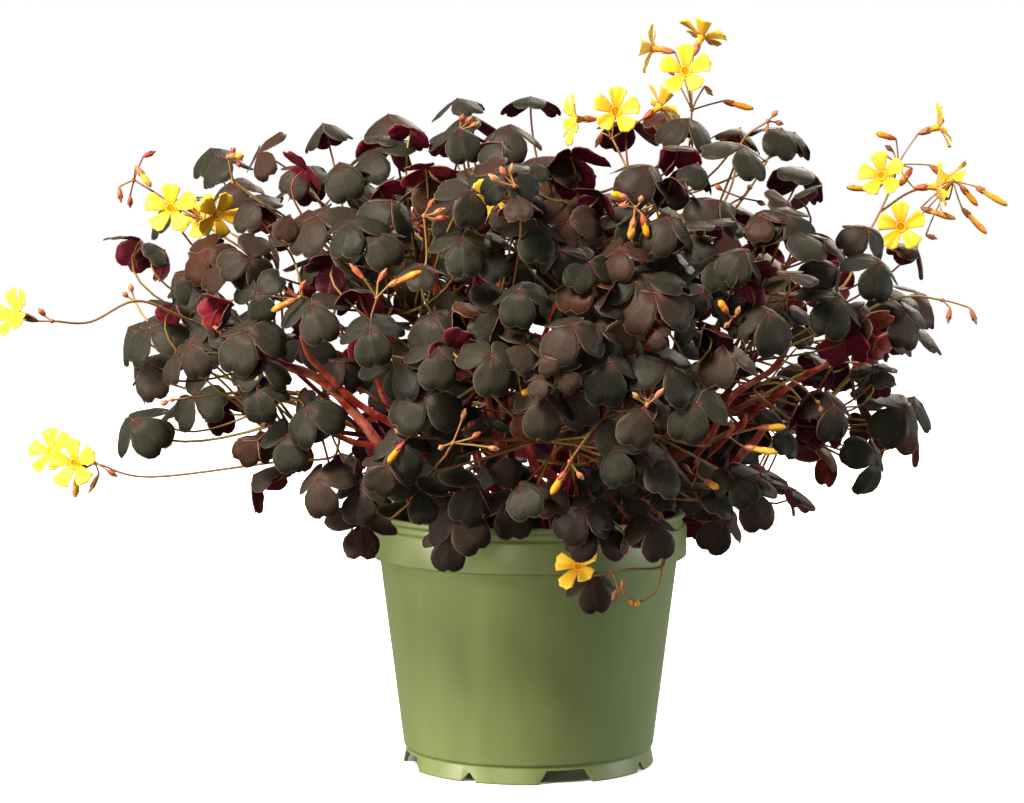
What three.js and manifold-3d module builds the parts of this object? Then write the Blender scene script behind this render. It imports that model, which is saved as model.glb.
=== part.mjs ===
// Potted oxalis: a dark-leaved wood sorrel with yellow flowers, grown in a green nursery pot.
// Units are millimetres and +Z is up. The origin is on the pot's axis, on the surface it stands on.
// The front of the plant faces -Y.

import * as THREE from 'three';
import { mergeVertices } from 'three/addons/utils/BufferGeometryUtils.js';
import Module from 'manifold-3d';

const wasm = await Module();
wasm.setup();

// Clear space between pieces that touch in the real thing
const GAP = 0.3;

// How far the seams of fused pieces may be evened out
const SEAM_SLACK = 0.12;

// Pot
const RIM_DIAMETER = 152;
const LIP_DIAMETER = 150.6;
const GROOVE_DIAMETER = 147.6;
const SHOULDER_DIAMETER = 143.4;
const BASE_DIAMETER = 120.4;
const FOOT_DIAMETER = 118;
const TOE_DIAMETER = 121;
const POT_HEIGHT = 122;
const LIP_HEIGHT = 3;
const GROOVE_HEIGHT = 3.6;
const BAND_HEIGHT = 15;
const FOOT_HEIGHT = 8;
const FLOOR_HEIGHT = 7.2;
const WALL = 1.4;
const TOE_WIDTH = 2;
const LIP_SLOPE = 0.6;
const GROOVE_SLOPE = 0.8;
const BAND_SLOPE = 0.4;
const INNER_SLOPE = 1.6;
const POT_SIDES = 32;
const BIG_NOTCHES = 4;
const BIG_NOTCH_START = 17;
const BIG_NOTCH_BOTTOM = 26;
const BIG_NOTCH_TOP = 18;
const BIG_NOTCH_HEIGHT = 6.5;
const SMALL_NOTCH_START = 62;
const SMALL_NOTCH_BOTTOM = 7.5;
const SMALL_NOTCH_TOP = 1;
const SMALL_NOTCH_HEIGHT = 4.5;
const NOTCH_DEPTH = 12;
const DRAIN_HOLES = 5;
const DRAIN_HOLE_RADIUS = 5;
const DRAIN_CIRCLE_RADIUS = 38;
const DRAIN_SIDES = 8;

// Soil
const SOIL_LEVEL = 110;
const SOIL_CROWN = 3;
const HOLE_CLEARANCE = 0.45;

// Stems: each tier is a ring of stems with one direction every so many degrees
const STEM_TIERS = [
  { count: 6, first: 235, climb: 14, root: 46, knee: [57, 152], reach: 0.62 },
  { count: 7, first: 208, climb: 40, root: 30, knee: [46, 168], reach: 0.64 },
  { count: 4, first: 225, climb: 68, root: 12, knee: [26, 196], reach: 0.62 },
];
const STEM_RADIUS = 2.1;
const STEM_TIP_RADIUS = 1.3;
const STEM_SIDES = 5;
const STEM_STEPS = 4;
const STEM_FOOT = 97;
const STEM_COLLAR = 115;
const SHOOTS = [
  { at: 0.5, turn: 26, climb: 9, reach: 0.78 },
  { at: 0.68, turn: -24, climb: -6, reach: 0.8 },
];
const SHOOT_RADIUS = 1.25;
const SHOOT_TIP_RADIUS = 0.95;
const SHOOT_SIDES = 4;
const SHOOT_STEPS = 2;
const SHOOT_SWELL = 6;

// Mound of foliage: half width at each height, and how much shallower it is from front to back
const MOUND_PROFILE = [
  [80, 92], [110, 100], [135, 138], [160, 188], [200, 196], [250, 190], [285, 165], [305, 122], [322, 20],
];
const MOUND_DEPTH = [[130, 1], [170, 0.86]];
const MOUND_HALF_WIDTH = 190;
const MOUND_CENTRE_HEIGHT = 150;
const MOUND_TOP = 312;

// Leaves: three heart-shaped leaflets on a thin stalk
const LEAFLET_LENGTH = 19.5;
const LEAF_THICKNESS = 0.7;
const LEAF_HUB_RADIUS = 1.9;
const LEAFLET_OUTLINE = [[0.6, 0.46], [0.97, 0.3], [0.86, 0]];
const LEAF_TILT = [[100, 48], [150, 55], [200, 52], [250, 44], [290, 30], [318, 14]];
const LEAF_RANGES = {
  size: [0.88, 1.12],
  turn: [-14, 14],
  lean: [-7, 7],
  droop: [12, 28],
  arch: [22, 48],
  fold: [8, 20],
  spin: [0, 360],
};
const LEAF_SEED = 5100;
const STALK_RADIUS = 0.75;
const STALK_PLACES = [0.12, 0.5, 1];
const STALK_BEND = 0.38;
const STALK_LENGTH = 42;
const STALK_ABOVE_COST = 60;
const STALK_ABOVE_SLACK = 0.1;
const STALK_RISE_COST = 0.4;
const STALK_LIFTS = [0, 0.28, -0.2];
const STALK_TRIES = 14;
const STALK_SEATS = [0.4, 0.46, 0.52, 0.58, 0.64, 0.7, 0.76, 0.82, 0.88, 0.93, 0.98];
const LEAF_SHIFTS = [0, -5, 5, -10, 10, 16];
const SPARE = 0.25;
const FRONT_FACING = 0.45;
const BACK_SEED = 500;
const BACK_INSET = 3;
const BACK_TRIES = 66;
const BACK_FROM = -0.2;
const TOP_FROM = 288;
const BACK_HEIGHTS = [
  [0, 112], [0.12, 132], [0.25, 155], [0.42, 190], [0.6, 235], [0.72, 275], [0.82, 303], [1, 321],
];

// Flowers
const PEDUNCLE_RADIUS = 0.95;
const PEDICEL_RADIUS = 0.6;
const SPRAY_TRIES = 20;
const SPRAY_RISE_COST = 0.8;
const SPRAY_CLEARING = 4;
const KNOB_RADIUS = 1.5;
const KNOB_ROWS = [[-1.3, 0.5], [0, 1], [1.3, 0.5]];
const KNOB_SIDES = 5;
const CALYX_LENGTH = 5;
const TUBE_LENGTH = 6;
const PETAL_LENGTH = 12.2;
const PETAL_SHOULDER = 0.84;
const PETAL_SPREAD = 0.42;
const PETAL_RISE = 2.6;
const PETAL_TIP_RISE = 2.08;
const THROAT_RADIUS = 2.3;
const TUBE_RADIUS = 1.15;
const PETAL_THICKNESS = 0.7;
const END_FORMS = {
  open: { sides: 4, radius: 1.8, rows: [[0, 0.5], [1, 1]] },
  shut: { sides: 4, radius: 2, rows: [[0, 0.5], [0.4, 1], [1, 0.4]] },
  bud: { sides: 3, radius: 1.5, rows: [[0, 0.5], [0.5, 1], [1, 0.3]] },
};

// Where the eye stood for the front view of 1024 x 803 pixels in which the places below were read
const EYE = [-8, -1500, 304];
const EYE_TILT = 4.945;
const EYE_FOCAL = 3138;
const EYE_CENTRE = [512, 401.5];

// Leaves seen in the front view: hub across, hub down, the way one leaflet points in the view
// (degrees from straight down, positive to the right), depth behind the mound's front, and where
// it differs from the rule, the tilt of the leaf's axis from upright (negative leans away)
const FRONT_LEAVES = [
  [537, 225, 5, 0], [547, 399, -12, 0], [438, 350, 0, 0], [370, 328, 8, 0], [609, 362, 0, 0],
  [643, 408, -18, 0], [312, 304, 22, 0], [257, 389, -6, 0], [838, 297, -16, 0], [905, 312, 6, 0],
  [768, 312, 33, 0], [745, 250, -48, 0], [519, 289, -18, 0], [573, 325, -50, 0], [492, 356, 4, 0],
  [463, 238, 6, 0], [351, 222, -30, 0], [318, 215, -42, 0], [373, 232, 44, 4], [448, 536, -5, 0],
  [457, 516, 46, 2], [592, 578, 16, 0], [598, 531, -62, 4], [653, 525, 28, 2], [583, 508, -48, 10],
  [317, 479, -6, 0], [360, 489, -12, 2], [400, 441, 8, 4], [133, 420, 58, 0], [190, 343, -6, 0],
  [247, 331, -36, 0], [141, 240, -28, 0, -36], [459, 128, 34, 6], [548, 157, 178, 10],
  [571, 156, 6, 14, -38], [742, 146, 42, 6], [782, 128, 6, 14], [388, 114, -60, 10],
  [389, 136, 68, 20, -34], [339, 163, 18, 10], [210, 148, -60, 4], [232, 183, 2, 10],
  [834, 405, 14, 0], [905, 409, -44, 4], [877, 462, 0, 0, 78], [752, 491, 24, 0], [725, 520, -28, 0],
  [697, 402, -24, 2], [669, 365, 44, 4], [655, 293, 72, 2], [668, 218, -48, 4], [434, 315, -34, 6],
  [425, 398, -58, 6], [880, 262, 6, 4], [868, 228, -74, 12], [787, 215, -84, 4], [150, 328, -52, 0],
  [176, 274, 48, 4], [147, 363, -4, 8], [689, 118, -88, 20], [517, 193, -24, 8], [308, 408, -42, 8],
];

// Sprays: front-to-back place of the foot and of the head, the run of each stalk in the view, and
// each end as [kind, stalk, foot across, foot down, mouth across, mouth down, depth, way to the front]
const SPRAYS = [
  {
    depth: [-30, -12],
    stalks: [[[684, 222], [688, 165], [692, 110]]],
    ends: [
      ['open', 0, 688, 78, 685, 68, -4, -15],
      ['open', 0, 675, 52, 658, 49, 8, 2],
      ['open', 0, 693, 56, 701, 38, 12, 3],
      ['shut', 0, 723, 101, 754, 109, 0, -2],
      ['bud', 0, 674, 75, 667, 68, 4, 0],
      ['bud', 0, 705, 86, 713, 96, -6, 0],
    ],
  },
  {
    depth: [-40, -25],
    stalks: [[[640, 215], [628, 172], [619, 152], [612, 138]]],
    ends: [
      ['open', 0, 598, 119, 582, 119, -6, -2],
      ['open', 0, 614, 119, 617, 108, -2, -15],
      ['open', 0, 643, 119, 654, 111, 6, 2],
      ['bud', 0, 602, 133, 595, 148, 2, 0],
      ['bud', 0, 628, 128, 636, 120, 5, 0],
    ],
  },
  {
    depth: [-20, 22],
    stalks: [
      [[838, 290], [862, 245], [880, 212], [892, 185], [898, 165]],
      [[908, 193], [935, 185], [953, 181]],
    ],
    fork: 2,
    ends: [
      ['open', 0, 918, 134, 935, 128, 4, 0],
      ['shut', 0, 896, 139, 876, 133, -2, 0],
      ['open', 0, 888, 184, 882, 176, -6, -9],
      ['shut', 0, 877, 190, 846, 187, -8, -3],
      ['shut', 0, 912, 168, 900, 186, -6, -2],
      ['open', 0, 914, 188, 929, 187, -17, 0],
      ['open', 0, 930, 165, 947, 178, 17, 1],
      ['open', 1, 904, 232, 900, 225, -20, -15],
      ['bud', 0, 893, 151, 885, 145, 2, 0],
      ['bud', 0, 884, 154, 876, 156, -3, 0],
      ['shut', 1, 921, 208, 956, 219, -9, -3],
      ['shut', 1, 960, 185, 978, 206, 4, 0],
      ['shut', 1, 975, 186, 1008, 206, -4, -2],
      ['shut', 1, 962, 208, 987, 234, -8, -3],
      ['bud', 1, 949, 199, 937, 197, 6, 0],
      ['bud', 1, 926, 235, 938, 239, -6, 0],
    ],
  },
  {
    depth: [-90, -70],
    stalks: [[[845, 322], [880, 304], [912, 296], [942, 300]]],
    ends: [
      ['bud', 0, 950, 308, 948, 324, -2, 0],
      ['bud', 0, 970, 308, 977, 325, 2, 0],
    ],
  },
  {
    depth: [-60, -40],
    stalks: [[[262, 268], [200, 222], [160, 196], [134, 180]]],
    ends: [
      ['bud', 0, 143, 157, 156, 151, 3, 0],
      ['bud', 0, 119, 187, 121, 203, -3, 0],
      ['shut', 0, 136, 166, 151, 187, -6, -2],
      ['bud', 0, 130, 196, 130, 208, 5, 0],
    ],
  },
  {
    depth: [-80, -62],
    stalks: [[[275, 262], [236, 236], [205, 220]]],
    ends: [
      ['open', 0, 178, 213, 170, 208, -8, -12],
      ['open', 0, 186, 205, 195, 212, 6, 8],
      ['open', 0, 206, 209, 217, 215, -10, -9],
      ['bud', 0, 222, 205, 232, 199, 4, 0],
    ],
  },
  {
    depth: [-92, -138],
    stalks: [[[180, 316], [135, 301], [90, 322], [52, 321]]],
    ends: [
      ['open', 0, 37, 321, 23, 316, 0, -4],
      ['bud', 0, 45, 316, 38, 308, 4, 0],
    ],
  },
  {
    depth: [-70, -66],
    stalks: [[[330, 458], [278, 462], [150, 477], [95, 463]]],
    ends: [
      ['open', 0, 66, 460, 55, 454, 4, -6],
      ['open', 0, 86, 467, 76, 464, -6, -9],
      ['shut', 0, 77, 474, 75, 498, -2, 0],
      ['bud', 0, 99, 474, 88, 494, 3, 0],
      ['bud', 0, 107, 470, 118, 477, -3, 0],
    ],
  },
  {
    depth: [-140, -158],
    stalks: [[[374, 352], [370, 325], [377, 298]]],
    ends: [
      ['shut', 0, 388, 286, 422, 271, -3, -2],
      ['bud', 0, 365, 280, 349, 263, -2, 0],
      ['bud', 0, 378, 282, 387, 268, 2, 0],
    ],
  },
  {
    depth: [-138, -150],
    stalks: [[[425, 300], [427, 255], [424, 216]]],
    ends: [
      ['bud', 0, 433, 214, 446, 208, 0, 0],
      ['bud', 0, 434, 219, 450, 217, -4, 0],
      ['bud', 0, 428, 208, 435, 198, 3, 0],
    ],
  },
  {
    depth: [-120, -132],
    stalks: [[[528, 226], [517, 203], [511, 189]]],
    ends: [
      ['open', 0, 506, 187, 495, 198, -3, -7],
      ['bud', 0, 512, 180, 519, 171, 3, 0],
    ],
  },
  {
    depth: [-152, -164],
    stalks: [[[607, 408], [586, 438], [570, 461]]],
    ends: [
      ['shut', 0, 565, 471, 551, 495, -3, -3],
      ['bud', 0, 577, 472, 584, 480, 1, 0],
    ],
  },
  {
    depth: [-120, -132],
    stalks: [[[700, 446], [714, 440], [728, 436]]],
    ends: [
      ['shut', 0, 757, 428, 786, 427, -2, -2],
      ['shut', 0, 744, 447, 778, 453, -5, -3],
      ['bud', 0, 744, 427, 746, 413, 4, 0],
      ['bud', 0, 733, 430, 730, 419, 2, 0],
    ],
  },
  {
    depth: [-100, -98],
    stalks: [[[655, 505], [664, 548], [661, 567], [630, 569], [612, 572]]],
    ends: [
      ['open', 0, 592, 576, 580, 566, -8, -7],
      ['bud', 0, 618, 589, 612, 600, -4, 0],
    ],
  },
  {
    depth: [60, 132],
    stalks: [[[470, 252], [455, 226], [448, 204]]],
    ends: [
      ['open', 0, 440, 196, 430, 188, 4, 10],
      ['open', 0, 458, 196, 468, 190, 8, 9],
      ['bud', 0, 450, 193, 452, 182, 8, 0],
    ],
  },
  {
    depth: [90, 148],
    stalks: [[[640, 300], [655, 276], [664, 252]]],
    ends: [
      ['open', 0, 668, 240, 674, 230, 10, 11],
      ['shut', 0, 655, 241, 640, 232, 4, 4],
      ['bud', 0, 672, 248, 684, 244, 3, 0],
    ],
  },
];

const LEAF_LOOK = { color: 0x3c3a34, roughness: 0.62, metalness: 0 };
const SPRAY_LOOK = { color: 0xb8663c, roughness: 0.6, metalness: 0 };
const PETAL_LOOK = { color: 0xfbd31a, roughness: 0.55, metalness: 0 };
const POT_LOOK = { color: 0x7f8c50, roughness: 0.42, metalness: 0 };
const SOIL_LOOK = { color: 0x1f150d, roughness: 0.95, metalness: 0 };

const GOLDEN = [0.7548776662466927, 0.5698402909980532];
const UP = new THREE.Vector3(0, 0, 1);
const TUBE_SIDE = new THREE.Vector3(0.36, 0.48, 0.8);

function radians(degrees) {
  return (degrees * Math.PI) / 180;
}

function vector(x, y, z) {
  return new THREE.Vector3(x, y, z);
}

// The value at x of a line drawn through the rows of a table, held level past its ends
function along(rows, x) {
  if (x <= rows[0][0]) return rows[0][1];
  for (let i = 1; i < rows.length; i += 1) {
    const [x0, y0] = rows[i - 1];
    const [x1, y1] = rows[i];
    if (x <= x1) return y0 + ((y1 - y0) * (x - x0)) / (x1 - x0);
  }
  return rows[rows.length - 1][1];
}

// A stream of numbers from 0 to 1 that is the same for the same seed
function stream(seed) {
  let state = seed >>> 0;
  return () => {
    state = (state + 0x6d2b79f5) >>> 0;
    let mixed = Math.imul(state ^ (state >>> 15), state | 1);
    mixed ^= mixed + Math.imul(mixed ^ (mixed >>> 7), mixed | 61);
    return ((mixed ^ (mixed >>> 14)) >>> 0) / 4294967296;
  };
}

// The point at depth y that a pixel of the front view shows
function seen(across, down, y) {
  const tilt = radians(EYE_TILT);
  const right = (across - EYE_CENTRE[0]) / EYE_FOCAL;
  const rise = (EYE_CENTRE[1] - down) / EYE_FOCAL;
  const forward = Math.cos(tilt) + rise * Math.sin(tilt);
  const climb = rise * Math.cos(tilt) - Math.sin(tilt);
  const reach = (y - EYE[1]) / forward;
  return vector(EYE[0] + right * reach, y, EYE[2] + climb * reach);
}

function moundDepth(z) {
  return along(MOUND_DEPTH, z);
}

// The y of the mound's front at a place across and a height
function moundFront(x, z) {
  const half = along(MOUND_PROFILE, z);
  return -moundDepth(z) * Math.sqrt(Math.max(0, half * half - x * x));
}

// The point of the mound's skin that a pixel of the front view shows, moved back by a depth
function moundPoint(across, down, back) {
  let y = -100;
  for (let i = 0; i < 8; i += 1) {
    const here = seen(across, down, y);
    y = (y + moundFront(here.x, here.z) + back) / 2;
  }
  return seen(across, down, y);
}

// The point of the mound's skin in a direction from its centre, as a share of the way out
function moundReach(turn, climb, share) {
  const flat = vector(Math.cos(radians(turn)), Math.sin(radians(turn)), 0);
  const rise = Math.sin(radians(climb));
  const level = Math.cos(radians(climb));
  const height = MOUND_TOP - MOUND_CENTRE_HEIGHT;
  const ax = (flat.x * level) / MOUND_HALF_WIDTH;
  const ay = (flat.y * level) / (MOUND_HALF_WIDTH * moundDepth(MOUND_TOP));
  const az = rise / height;
  const reach = share / Math.sqrt(ax * ax + ay * ay + az * az);
  return vector(flat.x * level * reach, flat.y * level * reach, MOUND_CENTRE_HEIGHT + rise * reach);
}

// A geometry from points and the triangles between them
function surface(points, faces) {
  const geometry = new THREE.BufferGeometry();
  const places = points.flatMap((point) => point.toArray());
  geometry.setAttribute('position', new THREE.Float32BufferAttribute(places, 3));
  geometry.setIndex(faces.flat());
  return geometry;
}

// A closed skin over rings of points that turn counter-clockwise about the way they run
function skin(rings) {
  const sides = rings[0].length;
  const faces = [];
  const last = (rings.length - 1) * sides;
  for (let i = 0; i < rings.length - 1; i += 1) {
    for (let j = 0; j < sides; j += 1) {
      const next = (j + 1) % sides;
      const [a, b] = [i * sides + j, i * sides + next];
      faces.push([a, b, b + sides], [a, b + sides, a + sides]);
    }
  }
  for (let j = 1; j < sides - 1; j += 1) {
    faces.push([0, j + 1, j], [last, last + j, last + j + 1]);
  }
  return surface(rings.flat(), faces);
}

// A skin of rings, each row a centre, the way it faces and a radius, turned as little as can be
function turned(rows, sides) {
  const side = vector(0, 0, 0).crossVectors(rows[0][1], TUBE_SIDE).normalize();
  return skin(rows.map(([centre, way, radius]) => {
    side.addScaledVector(way, -side.dot(way)).normalize();
    const over = vector(0, 0, 0).crossVectors(way, side);
    return Array.from({ length: sides }, (_, j) => centre.clone()
      .addScaledVector(side, radius * Math.cos((2 * Math.PI * j) / sides))
      .addScaledVector(over, radius * Math.sin((2 * Math.PI * j) / sides)));
  }));
}

// A closed tube along a list of points, its radius going from one end's to the other's
function tube(points, from, to, sides) {
  return turned(points.map((point, i) => {
    const before = points[Math.max(0, i - 1)];
    const after = points[Math.min(points.length - 1, i + 1)];
    const way = after.clone().sub(before).normalize();
    return [point, way, from + ((to - from) * i) / (points.length - 1)];
  }), sides);
}

// Points on a bend with one control point
function bend(p0, p1, p2, steps) {
  return Array.from({ length: steps + 1 }, (_, i) => bendPoint(p0, p1, p2, i / steps));
}

function bendWay(p0, p1, p2, t) {
  return p1.clone().sub(p0).multiplyScalar(1 - t).addScaledVector(p2, t).addScaledVector(p1, -t).normalize();
}

function bendPoint(p0, p1, p2, t) {
  const q = 1 - t;
  return p0.clone().multiplyScalar(q * q).addScaledVector(p1, 2 * q * t).addScaledVector(p2, t * t);
}

// Points on a smooth curve through all the points of a list, with one step between two of them
function smooth(points) {
  const out = [];
  for (let i = 0; i < points.length - 1; i += 1) {
    const before = points[Math.max(0, i - 1)];
    const after = points[Math.min(points.length - 1, i + 2)];
    out.push(points[i]);
    const middle = points[i].clone().add(points[i + 1]).multiplyScalar(9 / 16);
    out.push(middle.addScaledVector(before, -1 / 16).addScaledVector(after, -1 / 16));
  }
  out.push(points[points.length - 1]);
  return out;
}

function solidOf(geometry) {
  const bare = geometry.index ? geometry.toNonIndexed() : geometry.clone();
  bare.deleteAttribute('normal');
  bare.deleteAttribute('uv');
  const merged = mergeVertices(bare, 1e-4);
  return new wasm.Manifold(new wasm.Mesh({
    numProp: 3,
    vertProperties: merged.attributes.position.array,
    triVerts: new Uint32Array(merged.index.array),
  }));
}

function geometryOf(solid) {
  const mesh = solid.getMesh();
  const geometry = new THREE.BufferGeometry();
  geometry.setAttribute('position', new THREE.BufferAttribute(mesh.vertProperties, 3));
  geometry.setIndex(new THREE.BufferAttribute(mesh.triVerts, 1));
  return geometry;
}

function fuse(solids) {
  return solids.reduce((whole, solid) => whole.add(solid)).asOriginal().simplify(SEAM_SLACK);
}

// Every piece that a new one of another node is kept clear of, and what each node is fused from
const placed = [];
const grown = [];

function boxOf(geometry) {
  geometry.computeBoundingBox();
  return geometry.boundingBox;
}

function crosses(geometry, besides) {
  const box = boxOf(geometry);
  const near = placed.filter((piece) => piece.box.intersectsBox(box) && !besides(piece));
  if (near.length === 0) return false;
  const solid = solidOf(geometry);
  return near.some((piece) => piece.solid.intersect(solid).volume() > 0);
}

function guard(node, kind, geometry) {
  placed.push({ node, kind, solid: solidOf(geometry), box: boxOf(geometry) });
}

function grow(node, geometry) {
  grown[node] ??= [];
  grown[node].push(solidOf(geometry));
}

function place(node, kind, geometry) {
  guard(node, kind, geometry);
  grow(node, geometry);
}

function mesh(name, geometry, look) {
  const made = new THREE.Mesh(geometry, new THREE.MeshStandardMaterial(look));
  made.geometry.computeVertexNormals();
  made.name = name;
  return made;
}

// Pot

function lathe(profile) {
  const outline = profile.map(([radius, height]) => new THREE.Vector2(radius, height));
  return new THREE.LatheGeometry(outline, POT_SIDES).rotateX(Math.PI / 2);
}

const bandTop = POT_HEIGHT - LIP_HEIGHT - GROOVE_HEIGHT;
const bandBottom = bandTop - BAND_HEIGHT;

function potProfile() {
  const inner = (diameter) => diameter / 2 - WALL;
  return [
    [0, FLOOR_HEIGHT],
    [FOOT_DIAMETER / 2 - WALL, FLOOR_HEIGHT],
    [TOE_DIAMETER / 2 - TOE_WIDTH, 0],
    [TOE_DIAMETER / 2, 0],
    [FOOT_DIAMETER / 2, FOOT_HEIGHT],
    [BASE_DIAMETER / 2, FOOT_HEIGHT + 1],
    [SHOULDER_DIAMETER / 2, bandBottom],
    [RIM_DIAMETER / 2, bandBottom + BAND_SLOPE],
    [RIM_DIAMETER / 2, bandTop],
    [GROOVE_DIAMETER / 2, bandTop + GROOVE_SLOPE],
    [GROOVE_DIAMETER / 2, POT_HEIGHT - LIP_HEIGHT],
    [LIP_DIAMETER / 2, POT_HEIGHT - LIP_HEIGHT + LIP_SLOPE],
    [LIP_DIAMETER / 2, POT_HEIGHT],
    [inner(GROOVE_DIAMETER), POT_HEIGHT],
    [inner(GROOVE_DIAMETER), bandTop],
    [inner(SHOULDER_DIAMETER), bandBottom - INNER_SLOPE],
    [inner(BASE_DIAMETER), FLOOR_HEIGHT + WALL],
    [0, FLOOR_HEIGHT + WALL],
  ];
}

// A wedge that cuts one notch up into the foot ring
function notch(angle, bottom, top, height) {
  const radius = TOE_DIAMETER / 2;
  const low = radius * Math.tan(radians(bottom / 2));
  const high = radius * Math.tan(radians(top / 2));
  const shape = new THREE.Shape([
    new THREE.Vector2(-low, -1),
    new THREE.Vector2(low, -1),
    new THREE.Vector2(high, height),
    new THREE.Vector2(-high, height),
  ]);
  const wedge = new THREE.ExtrudeGeometry(shape, { depth: NOTCH_DEPTH, bevelEnabled: false, steps: 1 });
  wedge.rotateX(Math.PI / 2);
  wedge.translate(0, -radius + NOTCH_DEPTH / 2 + 1, 0);
  return wedge.rotateZ(radians(angle));
}

function potGeometry() {
  let pot = solidOf(lathe(potProfile()));
  for (let i = 0; i < BIG_NOTCHES; i += 1) {
    const turn = (360 / BIG_NOTCHES) * i;
    const big = notch(BIG_NOTCH_START + turn, BIG_NOTCH_BOTTOM, BIG_NOTCH_TOP, BIG_NOTCH_HEIGHT);
    const small = notch(SMALL_NOTCH_START + turn, SMALL_NOTCH_BOTTOM, SMALL_NOTCH_TOP, SMALL_NOTCH_HEIGHT);
    pot = pot.subtract(solidOf(big)).subtract(solidOf(small));
  }
  for (let i = 0; i < DRAIN_HOLES; i += 1) {
    const drain = new THREE.CylinderGeometry(DRAIN_HOLE_RADIUS, DRAIN_HOLE_RADIUS, 4 * WALL, DRAIN_SIDES);
    drain.rotateX(Math.PI / 2).translate(DRAIN_CIRCLE_RADIUS, 0, FLOOR_HEIGHT);
    pot = pot.subtract(solidOf(drain.rotateZ((2 * Math.PI * i) / DRAIN_HOLES)));
  }
  return geometryOf(pot);
}

// Soil

function soilGeometry(roots) {
  const inner = (diameter) => diameter / 2 - WALL - GAP;
  const floor = FLOOR_HEIGHT + WALL + GAP;
  const wall = [[bandBottom - INNER_SLOPE, inner(SHOULDER_DIAMETER)], [bandTop, inner(GROOVE_DIAMETER)]];
  let soil = solidOf(lathe([
    [0, floor],
    [inner(BASE_DIAMETER), floor],
    wall[0].slice().reverse(),
    [along(wall, SOIL_LEVEL), SOIL_LEVEL],
    [0, SOIL_LEVEL + SOIL_CROWN],
  ]));
  for (const root of roots) {
    const foot = root.clone().setZ(STEM_FOOT - GAP);
    const mouth = root.clone().setZ(SOIL_LEVEL + 2 * SOIL_CROWN);
    const rows = [foot, mouth].map((centre) => [centre, UP, STEM_RADIUS + HOLE_CLEARANCE]);
    soil = soil.subtract(solidOf(turned(rows, STEM_SIDES)));
  }
  return geometryOf(soil);
}

// Leafy stems

const stems = [];
const shoots = [];

function growStem(tier, index) {
  const node = stems.length;
  const turn = tier.first + (360 / tier.count) * index;
  const flat = vector(Math.cos(radians(turn)), Math.sin(radians(turn)), 0);
  const root = flat.clone().multiplyScalar(tier.root).setZ(STEM_FOOT);
  const collar = root.clone().setZ(STEM_COLLAR);
  const knee = flat.clone().multiplyScalar(tier.knee[0]).setZ(tier.knee[1]);
  const tip = moundReach(turn, tier.climb, tier.reach);
  const points = [root, ...bend(collar, knee, tip, STEM_STEPS)];
  place(node, 'stem', stemTube(points));
  stems.push({ node, root, turn, climb: tier.climb });
  const radii = [STEM_RADIUS, STEM_TIP_RADIUS];
  shoots.push({ node, bend: [collar, knee, tip], line: points.slice(1), radii });
}

// A stem's tube, with its foot upright in the soil
function stemTube(points) {
  return turned(points.map((point, i) => {
    const before = points[Math.max(0, i - 1)];
    const after = points[Math.min(points.length - 1, i + 1)];
    const way = i < 2 ? UP.clone() : after.clone().sub(before).normalize();
    const share = Math.max(0, i - 1) / (points.length - 2);
    return [point, way, STEM_RADIUS + (STEM_TIP_RADIUS - STEM_RADIUS) * share];
  }), STEM_SIDES);
}

function growShoots(stem) {
  const [collar, knee, tip] = shoots[stem.node].bend;
  for (const shoot of SHOOTS) {
    const start = bendPoint(collar, knee, tip, shoot.at);
    const end = moundReach(stem.turn + shoot.turn, stem.climb + shoot.climb, shoot.reach);
    const onward = tip.clone().sub(knee).normalize();
    const middle = start.clone().lerp(end, 0.5).addScaledVector(onward, SHOOT_SWELL);
    const points = bend(start, middle, end, SHOOT_STEPS);
    const geometry = tube(points, SHOOT_RADIUS, SHOOT_TIP_RADIUS, SHOOT_SIDES);
    if (!crosses(geometry, (piece) => piece.node === stem.node)) {
      place(stem.node, 'stem', geometry);
      shoots.push({ node: stem.node, line: points, radii: [SHOOT_RADIUS, SHOOT_TIP_RADIUS] });
    }
  }
}

// Places on stems and shoots where a stalk can be rooted
function seats() {
  return shoots.flatMap(({ node, line, radii }) => STALK_SEATS.map((at) => {
    const place = at * (line.length - 1);
    const step = Math.floor(place);
    return {
      node,
      radius: radii[0] + (radii[1] - radii[0]) * at,
      point: line[step].clone().lerp(line[step + 1], place - step),
      way: line[step + 1].clone().sub(line[step]).normalize(),
    };
  }));
}

// Leaves

// How a leaf hangs: its hub, its axis, two directions across and its own sizes
function leafForm(hub, index, facing, tiltGiven) {
  const draw = stream(LEAF_SEED + index);
  const drawn = ([low, high]) => low + (high - low) * draw();
  const size = LEAFLET_LENGTH * drawn(LEAF_RANGES.size);
  const turn = radians(drawn(LEAF_RANGES.turn));
  const lean = drawn(LEAF_RANGES.lean);
  const droop = radians(drawn(LEAF_RANGES.droop));
  const arch = radians(drawn(LEAF_RANGES.arch));
  const fold = radians(drawn(LEAF_RANGES.fold));
  const spin = radians(drawn(LEAF_RANGES.spin));
  const depth = moundDepth(hub.z);
  const out = vector(hub.x, hub.y / (depth * depth), 0).normalize();
  out.multiplyScalar(1 - facing).addScaledVector(vector(0, -1, 0), facing).normalize();
  out.applyAxisAngle(UP, turn);
  const tilt = radians((tiltGiven ?? along(LEAF_TILT, hub.z)) + lean);
  const axis = UP.clone().multiplyScalar(Math.cos(tilt)).addScaledVector(out, Math.sin(tilt));
  const down = out.clone().multiplyScalar(Math.cos(tilt)).addScaledVector(UP, -Math.sin(tilt));
  const across = vector(0, 0, 0).crossVectors(axis, down);
  return { hub, axis, down, across, size, droop, arch, fold, spin };
}

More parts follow.
